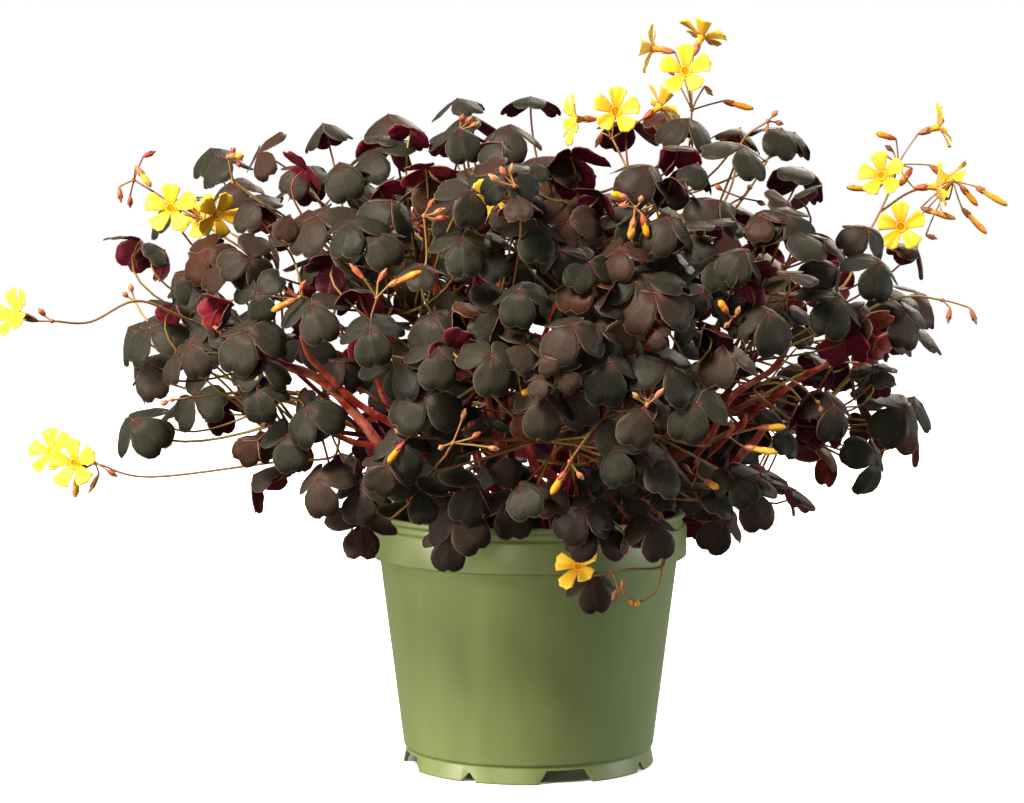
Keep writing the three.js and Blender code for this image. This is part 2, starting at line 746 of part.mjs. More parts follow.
// Turn the leaf about its axis until one leaflet points a given way in the front view
function aimLeaf(leaf, aim) {
  const [x, z] = [Math.sin(radians(aim)), -Math.cos(radians(aim))];
  const a = leaf.down.x * z - leaf.down.z * x;
  const b = leaf.across.x * z - leaf.across.z * x;
  leaf.spin = Math.atan2(-a, b);
  const way = leaf.down.clone().multiplyScalar(Math.cos(leaf.spin));
  way.addScaledVector(leaf.across, Math.sin(leaf.spin));
  if (way.x * x + way.z * z < 0) leaf.spin += Math.PI;
}

// A point of a leaflet that arches down from the hub and folds down along its midrib
function leafletPoint(leaf, turn, s, w, lift) {
  const [cos, sin] = [Math.cos(turn), Math.sin(turn)];
  const way = leaf.down.clone().multiplyScalar(cos).addScaledVector(leaf.across, sin);
  const side = leaf.across.clone().multiplyScalar(cos).addScaledVector(leaf.down, -sin);
  const angle = leaf.droop + leaf.arch * s;
  const out = (leaf.size * (Math.sin(angle) - Math.sin(leaf.droop))) / leaf.arch;
  const fall = (leaf.size * (Math.cos(leaf.droop) - Math.cos(angle))) / leaf.arch;
  const face = way.clone().multiplyScalar(Math.sin(angle)).addScaledVector(leaf.axis, Math.cos(angle));
  return leaf.hub.clone()
    .addScaledVector(way, out)
    .addScaledVector(leaf.axis, -fall)
    .addScaledVector(side, w * leaf.size * Math.cos(leaf.fold))
    .addScaledVector(face, lift - Math.abs(w) * leaf.size * Math.sin(leaf.fold));
}

// The points of one face of a leaf: three at the hub, then five round each leaflet
function bladeLayer(leaf, lift, spare) {
  const hub = [];
  const rim = [];
  const more = 1 + (2 * spare) / leaf.size;
  const [wide, lobe, cleft] = LEAFLET_OUTLINE;
  for (let k = 0; k < 3; k += 1) {
    const turn = leaf.spin + (2 * Math.PI * k) / 3;
    const notchTurn = turn - Math.PI / 3;
    hub.push(leaf.hub.clone()
      .addScaledVector(leaf.down, (LEAF_HUB_RADIUS + spare) * Math.cos(notchTurn))
      .addScaledVector(leaf.across, (LEAF_HUB_RADIUS + spare) * Math.sin(notchTurn))
      .addScaledVector(leaf.axis, lift));
    rim.push(leafletPoint(leaf, turn, wide[0], -wide[1] * more, lift));
    rim.push(leafletPoint(leaf, turn, lobe[0] * more, -lobe[1] * more, lift));
    rim.push(leafletPoint(leaf, turn, cleft[0] * more, 0, lift));
    rim.push(leafletPoint(leaf, turn, lobe[0] * more, lobe[1] * more, lift));
    rim.push(leafletPoint(leaf, turn, wide[0], wide[1] * more, lift));
  }
  return [...hub, ...rim];
}

// The faces between two such layers, and the hub's under face where nothing grows from it
function bladeFaces(closed) {
  const layer = 18;
  const faces = [[0, 1, 2]];
  if (closed) faces.push([layer, layer + 2, layer + 1]);
  for (let k = 0; k < 3; k += 1) {
    const [start, end, rim] = [k, (k + 1) % 3, 3 + 5 * k];
    const upper = [
      [start, rim, rim + 1],
      [start, rim + 1, rim + 2],
      [start, rim + 2, end],
      [end, rim + 2, rim + 3],
      [end, rim + 3, rim + 4],
    ];
    faces.push(...upper);
    faces.push(...upper.map(([a, b, c]) => [a + layer, c + layer, b + layer]));
    const edge = [start, rim, rim + 1, rim + 2, rim + 3, rim + 4, end];
    for (let j = 0; j < edge.length - 1; j += 1) {
      const [a, b] = [edge[j], edge[j + 1]];
      faces.push([a, a + layer, b + layer], [a, b + layer, b]);
    }
  }
  return faces;
}

// One thin arched blade cut to the rib between three leaflets
function bladeGeometry(leaf, spare) {
  const upper = bladeLayer(leaf, spare, spare);
  const under = bladeLayer(leaf, -LEAF_THICKNESS - spare, spare);
  return surface([...upper, ...under], bladeFaces(true));
}

// The rings of a leaf's stalk from the hub to its seat, turned so as to run on from the hub's corners
function stalkRings(leaf, seat, lift, radius) {
  const top = leaf.hub.clone().addScaledVector(leaf.axis, -LEAF_THICKNESS);
  const length = top.distanceTo(seat.point);
  const middle = top.clone()
    .addScaledVector(leaf.axis, -STALK_BEND * length)
    .addScaledVector(UP, lift * length);
  const corner = leaf.spin - Math.PI / 3;
  const side = leaf.down.clone().multiplyScalar(Math.cos(corner));
  side.addScaledVector(leaf.across, Math.sin(corner));
  return STALK_PLACES.map((t) => {
    const way = bendWay(top, middle, seat.point, t).negate();
    side.addScaledVector(way, -side.dot(way)).normalize();
    const over = vector(0, 0, 0).crossVectors(way, side);
    const centre = bendPoint(top, middle, seat.point, t);
    return [0, 1, 2].map((j) => centre.clone()
      .addScaledVector(side, radius * Math.cos((2 * Math.PI * j) / 3))
      .addScaledVector(over, radius * Math.sin((2 * Math.PI * j) / 3)));
  });
}

function stalkGeometry(leaf, seat, lift, spare) {
  return skin(stalkRings(leaf, seat, lift, STALK_RADIUS + spare).reverse());
}

// A whole leaf in one skin: the blade, and the stalk that runs on from the hub's under side
function leafGeometry(leaf, seat, lift) {
  const upper = bladeLayer(leaf, 0, 0);
  const under = bladeLayer(leaf, -LEAF_THICKNESS, 0);
  const rings = stalkRings(leaf, seat, lift, STALK_RADIUS);
  const faces = bladeFaces(false);
  const first = upper.length + under.length;
  rings.forEach((_, i) => {
    const above = i === 0 ? upper.length : first + 3 * (i - 1);
    const below = first + 3 * i;
    for (let j = 0; j < 3; j += 1) {
      const next = (j + 1) % 3;
      faces.push([below + j, below + next, above + next], [below + j, above + next, above + j]);
    }
  });
  const last = first + 3 * (rings.length - 1);
  faces.push([last, last + 2, last + 1]);
  return surface([...upper, ...under, ...rings.flat()], faces);
}

// How far a seat is from what a leaf would want
function seatCost(leaf, seat) {
  const gap = seat.point.clone().sub(leaf.hub);
  const length = gap.length();
  const above = STALK_ABOVE_COST * Math.max(0, gap.dot(leaf.axis) / length + STALK_ABOVE_SLACK);
  return Math.abs(length - STALK_LENGTH) + above + STALK_RISE_COST * Math.max(0, gap.z);
}

// Seat one leaf on the nearest stem that its stalk can reach with nothing in the way
function seatLeaf(formAt, allSeats) {
  for (const shift of LEAF_SHIFTS) {
    const leaf = formAt(shift);
    if (crosses(bladeGeometry(leaf, SPARE), () => false)) continue;
    const free = allSeats.filter((seat) => !seat.taken);
    const wanted = free.map((seat) => ({ seat, cost: seatCost(leaf, seat) }));
    wanted.sort((one, other) => one.cost - other.cost);
    for (const { seat } of wanted.slice(0, STALK_TRIES)) {
      for (const lift of STALK_LIFTS) {
        const own = (piece) => piece.node === seat.node && piece.kind === 'stem';
        if (crosses(stalkGeometry(leaf, seat, lift, SPARE), own)) continue;
        guard(seat.node, 'blade', bladeGeometry(leaf, 0));
        guard(seat.node, 'stalk', stalkGeometry(leaf, seat, lift, 0));
        grow(seat.node, leafGeometry(leaf, seat, lift));
        seat.taken = true;
        return true;
      }
    }
  }
  return false;
}

function growFrontLeaves(allSeats) {
  FRONT_LEAVES.forEach(([across, down, aim, back, tilt], index) => {
    seatLeaf((shift) => {
      const leaf = leafForm(moundPoint(across, down, back + shift), index, FRONT_FACING, tilt);
      aimLeaf(leaf, aim);
      return leaf;
    }, allSeats);
  });
}

// Leaves of the back and sides, spread evenly over the mound's skin
function growBackLeaves(allSeats) {
  for (let i = 0; i < BACK_TRIES; i += 1) {
    const turn = 2 * Math.PI * ((0.5 + GOLDEN[0] * i) % 1);
    const z = along(BACK_HEIGHTS, (0.5 + GOLDEN[1] * i) % 1);
    if (Math.sin(turn) < BACK_FROM && z < TOP_FROM) continue;
    seatLeaf((shift) => {
      const half = along(MOUND_PROFILE, z) - BACK_INSET - Math.abs(shift);
      const hub = vector(half * Math.cos(turn), moundDepth(z) * half * Math.sin(turn), z);
      return leafForm(hub, BACK_SEED + i, 0);
    }, allSeats);
  }
}

// Sprays

const blooms = [];

// A foot for a stalk just clear of the stem that carries it
function footOn(seat, aim) {
  const out = aim.clone().sub(seat.point);
  out.addScaledVector(seat.way, -out.dot(seat.way)).normalize();
  const foot = seat.point.clone().addScaledVector(out, seat.radius + GAP);
  return [foot, foot.clone().addScaledVector(out, SPRAY_CLEARING)];
}

function growSpray(spray, index, allSeats) {
  const node = stems.length + index;
  const [footDepth, headDepth] = spray.depth;
  const runs = spray.stalks.map((stalk, k) => stalk.map(([across, down], i) => {
    const share = k > 0 ? 1 : i / (stalk.length - 1);
    return seen(across, down, footDepth + (headDepth - footDepth) * share);
  }));
  runs.slice(1).forEach((run) => run.unshift(runs[0][spray.fork]));
  const first = runs[0][0];
  const costOf = ({ point }) => first.distanceTo(point) + SPRAY_RISE_COST * Math.max(0, point.z - first.z);
  const wanted = allSeats.map((seat) => ({ seat, cost: costOf(seat) }));
  wanted.sort((one, other) => one.cost - other.cost);
  for (const { seat } of wanted.slice(0, SPRAY_TRIES)) {
    const [foot, clear] = footOn(seat, first);
    const stalk = tube([foot, ...smooth([clear, ...runs[0]])], PEDUNCLE_RADIUS, PEDUNCLE_RADIUS, 3);
    if (crosses(stalk, () => false)) continue;
    place(node, 'stalk', stalk);
    runs.slice(1).forEach((run) => {
      place(node, 'stalk', tube(smooth(run), PEDUNCLE_RADIUS, PEDICEL_RADIUS, 3));
    });
    runs.forEach((run) => growKnob(node, run));
    spray.ends.forEach((end) => growEnd(node, end, runs, headDepth));
    return;
  }
  throw new Error(`no free seat for spray ${index}`);
}

// A small knob at a stalk's head, from which its pedicels spread
function growKnob(node, run) {
  const head = run[run.length - 1];
  const way = head.clone().sub(run[run.length - 2]).normalize();
  const rows = KNOB_ROWS.map(([at, wide]) => {
    const centre = head.clone().addScaledVector(way, at * KNOB_RADIUS);
    return [centre, way, wide * KNOB_RADIUS];
  });
  place(node, 'knob', turned(rows, KNOB_SIDES));
}

// The pedicel and what it carries in one skin: an open flower's calyx, a shut flower or a bud
function growEnd(node, [kind, run, ...where], runs, headDepth) {
  const [footAcross, footDown, mouthAcross, mouthDown, depth, front] = where;
  const head = runs[run][runs[run].length - 1];
  const foot = seen(footAcross, footDown, headDepth + depth);
  const mouth = seen(mouthAcross, mouthDown, headDepth + depth + front);
  const onward = foot.clone().sub(head).normalize();
  const way = mouth.clone().sub(foot).normalize();
  const between = onward.clone().add(way).normalize();
  const length = kind === 'open' ? CALYX_LENGTH : mouth.distanceTo(foot);
  const form = END_FORMS[kind];
  const rows = [
    [head, onward, PEDICEL_RADIUS],
    ...form.rows.map(([at, wide]) => {
      const centre = foot.clone().addScaledVector(way, at * length);
      return [centre, at > 0 ? way : between, wide * form.radius];
    }),
  ];
  place(node, 'end', turned(rows, form.sides));
  if (kind === 'open') {
    blooms.push({ foot: foot.clone().addScaledVector(way, CALYX_LENGTH + GAP), way });
  }
}

// A corolla in one skin: a five-sided funnel that opens into five wedge-shaped petals
function corollaGeometry({ foot, way }) {
  const side = vector(0, 0, 0).crossVectors(way, TUBE_SIDE).normalize();
  const over = vector(0, 0, 0).crossVectors(way, side).normalize();
  const at = (turn, out, rise) => foot.clone()
    .addScaledVector(side, out * Math.cos(turn))
    .addScaledVector(over, out * Math.sin(turn))
    .addScaledVector(way, rise);
  const layer = (lift) => {
    const throat = [];
    const rim = [];
    for (let k = 0; k < 5; k += 1) {
      const turn = (2 * Math.PI * k) / 5;
      throat.push(at(turn - Math.PI / 5, THROAT_RADIUS, TUBE_LENGTH + lift));
      rim.push(at(turn - PETAL_SPREAD, PETAL_SHOULDER * PETAL_LENGTH, TUBE_LENGTH + PETAL_RISE + lift));
      rim.push(at(turn, PETAL_LENGTH, TUBE_LENGTH + PETAL_TIP_RISE + lift));
      rim.push(at(turn + PETAL_SPREAD, PETAL_SHOULDER * PETAL_LENGTH, TUBE_LENGTH + PETAL_RISE + lift));
    }
    return [...throat, ...rim];
  };
  const base = [0, 1, 2, 3, 4].map((k) => at((2 * Math.PI * k) / 5 - Math.PI / 5, TUBE_RADIUS, 0));
  const under = 20;
  const foots = 40;
  const faces = [[0, 1, 2], [0, 2, 3], [0, 3, 4], [foots, foots + 2, foots + 1]];
  faces.push([foots, foots + 3, foots + 2], [foots, foots + 4, foots + 3]);
  for (let k = 0; k < 5; k += 1) {
    const [start, end, rim] = [k, (k + 1) % 5, 5 + 3 * k];
    const upper = [[start, rim, rim + 1], [start, rim + 1, end], [end, rim + 1, rim + 2]];
    faces.push(...upper);
    faces.push(...upper.map(([a, b, c]) => [a + under, c + under, b + under]));
    const edge = [start, rim, rim + 1, rim + 2, end];
    for (let j = 0; j < edge.length - 1; j += 1) {
      const [a, b] = [edge[j], edge[j + 1]];
      faces.push([a, a + under, b + under], [a, b + under, b]);
    }
    faces.push([start + foots, end + foots, end + under], [start + foots, end + under, start + under]);
  }
  return surface([...layer(0), ...layer(-PETAL_THICKNESS), ...base], faces);
}

// Assembly

const pot = potGeometry();
guard(-1, 'pot', pot);
STEM_TIERS.forEach((tier) => Array.from({ length: tier.count }, (_, i) => growStem(tier, i)));
const soil = soilGeometry(stems.map((stem) => stem.root));
guard(-1, 'soil', soil);
stems.forEach(growShoots);
const allSeats = seats();
SPRAYS.forEach((spray, index) => growSpray(spray, index, allSeats));
const corollas = blooms.map(corollaGeometry);
corollas.forEach((geometry, index) => guard(stems.length + SPRAYS.length + index, 'bloom', geometry));
growFrontLeaves(allSeats);
growBackLeaves(allSeats);

const number = (index) => String(index + 1).padStart(2, '0');
const group = new THREE.Group();
group.add(mesh('pot', pot, POT_LOOK));
group.add(mesh('soil', soil, SOIL_LOOK));

function bodyOf(node) {
  return geometryOf(fuse(grown[node]));
}

stems.forEach((stem) => group.add(mesh(`leafy_stem_${number(stem.node)}`, bodyOf(stem.node), LEAF_LOOK)));
SPRAYS.forEach((spray, index) => {
  group.add(mesh(`spray_${number(index)}`, bodyOf(stems.length + index), SPRAY_LOOK));
});
corollas.forEach((geometry, index) => group.add(mesh(`flower_${number(index)}`, geometry, PETAL_LOOK)));

export default group;
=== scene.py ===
"""Looks of the potted oxalis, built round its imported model.

Lengths are worked out in millimetres in the model's frame and go into the meshes in metres. +Z is up, the
front faces -Y, and the origin is on the pot's axis, on the surface that it stands on.
"""
import math

import bpy
import numpy as np
from mathutils.bvhtree import BVHTree
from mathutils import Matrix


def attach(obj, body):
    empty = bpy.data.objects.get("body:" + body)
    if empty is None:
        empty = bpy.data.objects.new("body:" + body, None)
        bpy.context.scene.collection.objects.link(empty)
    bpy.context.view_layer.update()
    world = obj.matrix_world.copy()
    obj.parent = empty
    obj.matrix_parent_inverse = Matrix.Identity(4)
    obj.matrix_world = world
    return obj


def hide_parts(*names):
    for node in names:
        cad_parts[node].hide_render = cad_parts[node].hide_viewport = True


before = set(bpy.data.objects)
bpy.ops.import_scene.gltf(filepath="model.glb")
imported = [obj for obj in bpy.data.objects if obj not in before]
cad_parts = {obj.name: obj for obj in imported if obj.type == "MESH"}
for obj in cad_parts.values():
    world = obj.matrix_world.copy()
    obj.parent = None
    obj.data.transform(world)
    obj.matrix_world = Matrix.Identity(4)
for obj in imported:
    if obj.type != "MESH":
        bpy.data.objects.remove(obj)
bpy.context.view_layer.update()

MM = 0.001
MASK = 0xFFFFFFFF
UP = np.array([0.0, 0.0, 1.0])

# The way that the first ring of every tube is set out by, and the model's gap between its pieces
TUBE_SIDE = np.array([0.36, 0.48, 0.8])
GAP = 0.3

# Pot and soil, as in the model
RIM_RADIUS, LIP_RADIUS, GROOVE_RADIUS = 76.0, 75.3, 73.8
SHOULDER_RADIUS, BASE_RADIUS, FOOT_RADIUS, TOE_RADIUS = 71.7, 60.2, 59.0, 60.5
POT_HEIGHT, LIP_BOTTOM, BAND_TOP, BAND_BOTTOM = 122.0, 119.0, 115.4, 100.4
FOOT_HEIGHT, FLOOR_HEIGHT, WALL, TOE_WIDTH = 8.0, 7.2, 1.4, 2.0
BIG_NOTCHES = {"start": -73, "bottom": 13, "top": 9, "height": 6.5}
SMALL_NOTCHES = {"start": -28, "bottom": 3.75, "top": 0.5, "height": 4.5}
DRAIN_HOLES, DRAIN_RADIUS, DRAIN_CIRCLE, FLOOR_DISC, CORNER_ROUND = 5, 5.0, 38.0, 12.0, 0.8
SOIL_LEVEL, SOIL_CROWN, SOIL_SINK, SOIL_RINGS, SOIL_SIDES = 110.0, 3.0, 0.6, 34, 120
LUMP_SEED, LUMP_WAVES, LUMP_LENGTHS, LUMP_HEIGHT = 7, 28, (2.5, 14.0), 0.9
CRUMB_SEED, CRUMBS, CRUMB_SIZES = 11, 260, (0.7, 2.1)

# Stems, as in the model: each tier is a ring of stems with one direction every so many degrees
STEM_TIERS = [
    {"count": 6, "first": 235, "climb": 14, "root": 46, "knee": (57, 152), "reach": 0.62},
    {"count": 7, "first": 208, "climb": 40, "root": 30, "knee": (46, 168), "reach": 0.64},
    {"count": 4, "first": 225, "climb": 68, "root": 12, "knee": (26, 196), "reach": 0.62},
]
STEM_RADIUS, STEM_TIP_RADIUS, STEM_STEPS, STEM_FOOT, STEM_COLLAR = 2.1, 1.3, 4, 97.0, 115.0
SHOOTS = [
    {"at": 0.5, "turn": 26, "climb": 9, "reach": 0.78},
    {"at": 0.68, "turn": -24, "climb": -6, "reach": 0.8},
]
SHOOT_RADIUS, SHOOT_TIP_RADIUS, SHOOT_STEPS, SHOOT_SWELL = 1.25, 0.95, 2, 6.0

# Mound of foliage, as in the model
MOUND_PROFILE = [
    (80, 92), (110, 100), (135, 138), (160, 188), (200, 196), (250, 190), (285, 165), (305, 122), (322, 20),
]
MOUND_DEPTH = [(130, 1), (170, 0.86)]
MOUND_HALF_WIDTH, MOUND_CENTRE_HEIGHT, MOUND_TOP = 190.0, 150.0, 312.0

# Leaves, as in the model
LEAFLET_LENGTH = 19.5
LEAFLET_OUTLINE = [(0.6, 0.46), (0.97, 0.3), (0.86, 0)]
LEAF_TILT = [(100, 48), (150, 55), (200, 52), (250, 44), (290, 30), (318, 14)]
LEAF_RANGES = {
    "size": (0.88, 1.12),
    "turn": (-14, 14),
    "lean": (-7, 7),
    "droop": (12, 28),
    "arch": (22, 48),
    "fold": (8, 20),
    "spin": (0, 360),
}
FRONT_FACING = 0.45
LEAF_SEED, BACK_SEED, BACK_INSET, BACK_TRIES, BACK_FROM, TOP_FROM = 5100, 500, 3.0, 66, -0.2, 288.0
MODEL_LEAF_THICKNESS, MODEL_STALK_RADIUS = 0.7, 0.75
STALK_BEND, STALK_ABOVE_COST, STALK_ABOVE_SLACK, STALK_RISE_COST = 0.38, 60.0, 0.1, 0.4
STALK_LIFTS = [0, 0.28, -0.2]
STALK_SEATS = [0.4, 0.46, 0.52, 0.58, 0.64, 0.7, 0.76, 0.82, 0.88, 0.93, 0.98]
LEAF_SHIFTS = [0, -5, 5, -10, 10, 16]
BACK_HEIGHTS = [
    (0, 112), (0.12, 132), (0.25, 155), (0.42, 190), (0.6, 235), (0.72, 275), (0.82, 303), (1, 321),
]
GOLDEN = (0.7548776662466927, 0.5698402909980532)

# Flowers, as in the model
SPRAY_TRIES, SPRAY_RISE_COST, SPRAY_CLEARING = 20, 0.8, 4.0
CALYX_LENGTH, TUBE_LENGTH, TUBE_RADIUS = 5.0, 6.0, 1.15
PETAL_LENGTH, PETAL_RISE = 12.2, 2.6

# Where the eye stood for the front view of 1024 x 803 pixels in which the places below were read
EYE, EYE_TILT, EYE_FOCAL, EYE_CENTRE = (-8.0, -1500.0, 304.0), 4.945, 3138.0, (512.0, 401.5)
EYE_LENS, SENSOR = 110.3, 36.0

# Leaves of the model seen in the front view: hub across, hub down, the way one leaflet points in the view
# (degrees from straight down, positive to the right), depth behind the mound's front, and where it differs
# from the rule, the tilt of the leaf's axis from upright
FRONT_LEAVES = [
    (537, 225, 5, 0), (547, 399, -12, 0), (438, 350, 0, 0), (370, 328, 8, 0), (609, 362, 0, 0),
    (643, 408, -18, 0), (312, 304, 22, 0), (257, 389, -6, 0), (838, 297, -16, 0), (905, 312, 6, 0),
    (768, 312, 33, 0), (745, 250, -48, 0), (519, 289, -18, 0), (573, 325, -50, 0), (492, 356, 4, 0),
    (463, 238, 6, 0), (351, 222, -30, 0), (318, 215, -42, 0), (373, 232, 44, 4), (448, 536, -5, 0),
    (457, 516, 46, 2), (592, 578, 16, 0), (598, 531, -62, 4), (653, 525, 28, 2), (583, 508, -48, 10),
    (317, 479, -6, 0), (360, 489, -12, 2), (400, 441, 8, 4), (133, 420, 58, 0), (190, 343, -6, 0),
    (247, 331, -36, 0), (141, 240, -28, 0, -36), (459, 128, 34, 6), (548, 157, 178, 10),
    (571, 156, 6, 14, -38), (742, 146, 42, 6), (782, 128, 6, 14), (388, 114, -60, 10),
    (389, 136, 68, 20, -34), (339, 163, 18, 10), (210, 148, -60, 4), (232, 183, 2, 10), (834, 405, 14, 0),
    (905, 409, -44, 4), (877, 462, 0, 0, 78), (752, 491, 24, 0), (725, 520, -28, 0), (697, 402, -24, 2),
    (669, 365, 44, 4), (655, 293, 72, 2), (668, 218, -48, 4), (434, 315, -34, 6), (425, 398, -58, 6),
    (880, 262, 6, 4), (868, 228, -74, 12), (787, 215, -84, 4), (150, 328, -52, 0), (176, 274, 48, 4),
    (147, 363, -4, 8), (689, 118, -88, 20), (517, 193, -24, 8), (308, 408, -42, 8),
]

# Leaves that the model leaves out: hub across, hub down, way of one leaflet, depth behind the mound's front
INNER_LEAVES = [
    (259, 152, 0, 12), (247, 199, -20, 6), (185, 284, 0, 10), (188, 253, 90, 10), (228, 263, 80, 8),
    (175, 352, -20, 12), (212, 327, 150, 10), (257, 293, 10, 8), (258, 440, 70, 15), (306, 168, -50, 14),
    (392, 200, -80, 8), (404, 363, -25, 10), (362, 524, 0, 4), (389, 465, -30, 6), (503, 142, 65, 12),
    (534, 162, 15, 8), (498, 172, -40, 6), (455, 208, -10, 10), (481, 252, 50, 10), (590, 262, 80, 10),
    (583, 277, -45, 15), (528, 345, -30, 6), (611, 336, -30, 5), (636, 282, -80, 8), (530, 412, -25, 12),
    (572, 388, 0, 10), (452, 444, 60, 18), (520, 483, 0, 10), (698, 163, -110, 20), (685, 180, -50, 25),
    (705, 222, -100, 10), (645, 275, 85, 12), (703, 293, -20, 4), (723, 345, -50, 6), (668, 460, 0, 15),
    (733, 478, -80, 5), (718, 490, 0, 8), (790, 275, 80, 5), (797, 232, 45, 5), (902, 306, 40, 10),
    (876, 368, 35, 8), (790, 205, 170, 15), (838, 270, 40, 15), (785, 430, 0, 15), (725, 350, 20, 12),
    (630, 318, -10, 8), (598, 325, 80, 5), (690, 238, 50, 15), (680, 268, 10, 18), (568, 222, -20, 10),
    (635, 355, -10, 12), (605, 420, 10, 15), (612, 448, 0, 10), (290, 215, -10, 10), (420, 265, 10, 12),
    (500, 315, -40, 12), (560, 250, 20, 6), (620, 250, -20, 12), (655, 460, 30, 12), (478, 486, -10, 22),
    (420, 490, 30, 8), (545, 482, 10, 30), (860, 310, -30, 12), (745, 300, -60, 12), (715, 260, 20, 10),
    (760, 215, -20, 10), (720, 200, 60, 14), (640, 210, 10, 14), (488, 178, -10, 8), (430, 176, 30, 12),
    (510, 196, 0, 6), (262, 360, 80, 10), (288, 435, 0, 10), (205, 252, 90, 8), (250, 258, -80, 8),
    (795, 132, 30, 12), (374, 150, -20, 14), (660, 488, 20, 40), (690, 474, -30, 45), (622, 492, -60, 50),
    (560, 497, 40, 55), (512, 500, 0, 50), (455, 495, -50, 50), (415, 494, 30, 45), (395, 482, -20, 40),
    (590, 470, 60, 50), (490, 470, -30, 55), (648, 462, -20, 50), (440, 462, 20, 50),
    (508, 176, -64, -20), (518, 196, -16, -18), (472, 190, 14, -20),
]

# Leaves that turn their under faces to the front view, and how far each one's axis leans away from it
TURNED_LEAVES = [
    (306, 168, -31, 0, 38), (165, 250, 30, 8, 35), (212, 288, 100, 8, 45), (232, 306, -60, 6, 50),
    (176, 304, -50, 4, 50), (262, 203, 0, 12, 40), (335, 262, 0, 12, 40), (426, 167, -60, -6, 40),
    (412, 128, -90, 0, 30), (482, 212, 0, 12, 45), (600, 196, -40, 10, 42), (640, 190, 0, 12, 45),
    (676, 146, -70, 14, 40), (671, 178, 0, 12, 40), (795, 195, 100, 12, 45), (858, 330, -85, 8, 55),
    (846, 338, -40, 8, 50), (873, 378, 60, 8, 40), (800, 412, 10, 10, 42), (740, 480, -20, 8, 45),
    (664, 306, 0, 6, 55), (742, 278, 10, 6, 55), (612, 300, -10, 10, 42), (640, 408, -80, 4, 55),
    (590, 392, 30, 4, 55), (452, 350, 40, 2, 55), (428, 398, -30, 10, 45), (456, 302, 60, 8, 50),
    (498, 328, 10, 10, 40), (632, 520, 90, 2, 50), (585, 514, 10, 6, 45), (252, 350, -60, 6, 50),
    (380, 190, 0, 16, 42), (360, 290, 60, 10, 48), (705, 330, 30, 8, 50), (826, 420, 70, 8, 45),
]

# How the leaves that the model leaves out vary: the size as a share, and angles in degrees
FREE_RANGES = {
    "size": (0.68, 1.06),
    "turn": (-50, 50),
    "lean": (-30, 30),
    "droop": (6, 44),
    "arch": (8, 34),
    "fold": (2, 14),
    "spin": (0, 360),
}

# Small young leaves, in the form of the leaves that the model leaves out
YOUNG_LEAVES = [
    (545, 356, 0, -4), (560, 372, 40, -3), (655, 335, 10, -2), (762, 478, 30, 4), (540, 376, -30, -2),
]

# The top of the mass of leaves in the front view, and its lower edge: places across and down
SKYLINE = [
    (100, 330), (150, 300), (210, 235), (250, 190), (330, 180), (400, 165), (470, 150), (550, 150),
    (610, 185), (650, 215), (690, 200), (740, 190), (800, 195), (840, 235), (890, 275), (930, 330),
]
LOW_EDGE = [
    (100, 380), (200, 400), (260, 425), (320, 445), (370, 470), (400, 478), (512, 482), (620, 480),
    (690, 480), (760, 440), (860, 410), (930, 380),
]

# Places in the front view where no leaf of the rule hides the stems: across, down and reach
OPENINGS = [
    (235, 340, 26), (275, 365, 30), (320, 392, 34), (362, 425, 34), (400, 452, 24), (350, 455, 24),
    (540, 460, 24), (600, 476, 22), (662, 470, 20), (480, 462, 20), (745, 400, 24), (775, 385, 24),
    (815, 370, 22), (852, 350, 18), (735, 460, 22),
]

# Thick stems seen in the front view: where each stands in the soil, its depths at the first and last place,
# its radii, and its places across and down
SEEN_STEMS = [
    ((-42, -34), (-78, -112), (2.9, 1.7), [
        (388, 457), (352, 410), (317, 378), (281, 364), (245, 346), (213, 326),
    ]),
    ((-50, -30), (-80, -110), (2.0, 1.1), [(386, 456), (350, 441), (319, 426), (308, 409)]),
    ((-30, -36), (-76, -104), (2.2, 1.4), [
        (410, 436), (391, 423), (357, 403), (329, 377), (311, 358), (300, 335),
    ]),
    ((-22, -20), (-66, -84), (2.0, 1.2), [(440, 426), (409, 428), (385, 400), (372, 350), (366, 300)]),
    ((-20, -30), (-60, -70), (1.9, 1.3), [(450, 440), (440, 380), (436, 300), (435, 263), (430, 235)]),
    ((12, -44), (-84, -104), (2.6, 1.8), [(553, 480), (538, 472), (531, 455), (530, 425), (524, 390)]),
    ((34, -40), (-76, -96), (2.4, 1.6), [(585, 482), (603, 472), (626, 476), (652, 470), (690, 452)]),
    ((50, -26), (-46, -88), (2.5, 1.6), [
        (660, 503), (712, 489), (730, 470), (745, 450), (758, 437), (775, 405),
    ]),
    ((46, -26), (-60, -96), (2.1, 1.3), [(700, 450), (729, 400), (751, 383), (773, 369), (790, 345)]),
    ((48, -20), (-58, -104), (2.0, 1.1), [(745, 420), (799, 380), (816, 370), (852, 352), (888, 333)]),
    ((20, -36), (-60, -76), (2.0, 1.2), [(590, 440), (612, 400), (640, 360), (660, 322), (672, 290)]),
    ((-6, -40), (-66, -80), (2.0, 1.2), [(498, 440), (488, 400), (492, 350), (500, 300), (496, 262)]),
]

